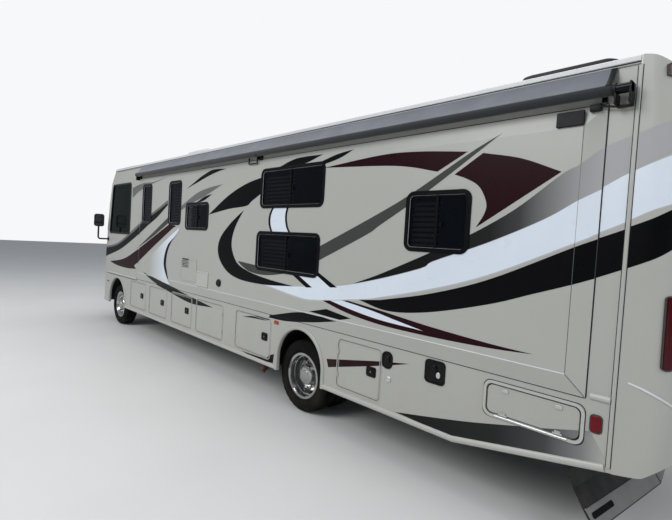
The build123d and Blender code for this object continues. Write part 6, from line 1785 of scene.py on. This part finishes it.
pads = []
for side, side_name in ((1, "driver"), (-1, "passenger")):
    y = side * SEAT_Y
    base = made_of(side_name + "_seat_base", seat_base(y), [dark_plastic, satin_black], "coach")
    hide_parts("cab_seats")
    pads.append(seat_pad(side_name + "_seat_cushion", (SEAT_X, y - SEAT_HALF, FLOOR_TOP + 0.330),
                         (SEAT_X + 0.520, y + SEAT_HALF, FLOOR_TOP + 0.478), 0.0))
    pads.append(seat_pad(side_name + "_seat_back", (SEAT_X + 0.010, y - 0.240, FLOOR_TOP + 0.430),
                         (SEAT_X + 0.140, y + 0.240, FLOOR_TOP + 1.180), BACK_LEAN))
swell(pads)
for made in pads:
    sew_channels(made, SEAT_Y if made.name.startswith("driver") else -SEAT_Y, made.name.endswith("cushion"))
    for polygon in made.data.polygons:
        polygon.use_smooth = True
    made.data.materials.clear()
    made.data.materials.append(seat_cloth)
    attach(made, "coach")

# Kitchen run: counter top, door and drawer fronts with handles
inside_low, inside_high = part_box("interior")
COUNTER_Y = inside_low.y + 0.619
COUNTER_TOP = FLOOR_TOP + 0.910
DOOR_COUNT = 4
DOOR_STEPS = [(0, 0), (0, 0.014), (0.004, 0.018)]
run_start, run_end = inside_low.x + 0.035, inside_high.x
door_wide = (run_end - run_start) / DOOR_COUNT
kitchen = blocks([((run_start, inside_low.y + 0.002, COUNTER_TOP - 0.002),
                   (run_end + 0.012, COUNTER_Y + 0.020, COUNTER_TOP + 0.028), 0.008)])
for index in range(DOOR_COUNT):
    x = run_start + door_wide * (index + 0.5)
    panel = DOOR_STEPS + [(0.055, 0.018), (0.060, 0.013)]
    kitchen += plates(on_side(COUNTER_Y), [
        (x, FLOOR_TOP + 0.400, door_wide - 0.030, 0.560, 0.010, panel, 1),
        (x, FLOOR_TOP + 0.785, door_wide - 0.030, 0.160, 0.010, DOOR_STEPS, 1)])
    out = COUNTER_Y + 0.034
    for z in (FLOOR_TOP + 0.620, FLOOR_TOP + 0.785):
        kitchen.append((rod((x - 0.05, out, z), (x + 0.05, out, z), 0.005, 10, 0.002), 2))
        kitchen += [(rod((x + end, COUNTER_Y + 0.012, z), (x + end, out, z), 0.004, 8), 2)
                    for end in (-0.045, 0.045)]
made_of("kitchen_fittings", kitchen, [shroud_pale, cabinet_wood, aluminium], "coach")


# Floor, backdrop and light
def add_stage():
    """A pale floor, a white surround, and soft lamps."""
    made, tree, body, where = shader("floor_pale")
    tone = ramp(tree, noise(tree, where, 0.8), [(0.2, (0.60, 0.60, 0.59)), (0.8, (0.64, 0.64, 0.63))])
    tree.links.new(tone, body.inputs["Base Color"])
    body.inputs["Roughness"].default_value = 0.8
    mesh = bpy.data.meshes.new("floor_sheet")
    half = 60.0
    corners = [(-half, -half, 0), (half, -half, 0), (half, half, 0), (-half, half, 0)]
    mesh.from_pydata(corners, [], [(0, 1, 2, 3)])
    mesh.materials.append(made)
    ground = bpy.data.objects.new("floor_sheet", mesh)
    bpy.context.collection.objects.link(ground)

    world = bpy.data.worlds.new("surround")
    bpy.context.scene.world = world
    world.use_nodes = True
    tree = world.node_tree
    back = tree.nodes["Background"]
    back.inputs["Color"].default_value = (0.82, 0.87, 0.95, 1)
    back.inputs["Strength"].default_value = 0.42
    seen = tree.nodes.new("ShaderNodeBackground")
    seen.inputs["Color"].default_value = (0.93, 0.94, 0.95, 1)
    seen.inputs["Strength"].default_value = 1.0
    way = tree.nodes.new("ShaderNodeLightPath")
    join = tree.nodes.new("ShaderNodeMixShader")
    tree.links.new(way.outputs["Is Camera Ray"], join.inputs["Fac"])
    tree.links.new(back.outputs["Background"], join.inputs[1])
    tree.links.new(seen.outputs["Background"], join.inputs[2])
    tree.links.new(join.outputs["Shader"], tree.nodes["World Output"].inputs["Surface"])

    lamps = [
        ("key", (2.0, 15.0, 11.0), 10.0, 1900.0, (1.0, 0.6, 1.6)),
        ("fill", (-15.0, 3.0, 9.0), 9.0, 720.0, (-2.0, 0.6, 1.6)),
        ("top", (0.0, -2.0, 14.0), 10.0, 800.0, (0, 0, 2.0)),
        ("back", (2.0, -14.0, 8.0), 9.0, 500.0, (0, -1, 1.6)),
    ]
    for name, place, size, power, aim in lamps:
        data = bpy.data.lights.new(name, "AREA")
        data.size = size
        data.energy = power
        lamp = bpy.data.objects.new(name, data)
        lamp.location = place
        lamp.rotation_euler = (Vector(aim) - Vector(place)).to_track_quat("-Z", "Y").to_euler()
        bpy.context.collection.objects.link(lamp)


add_camera()
add_stage()
bpy.context.scene.view_settings.view_transform = "Standard"
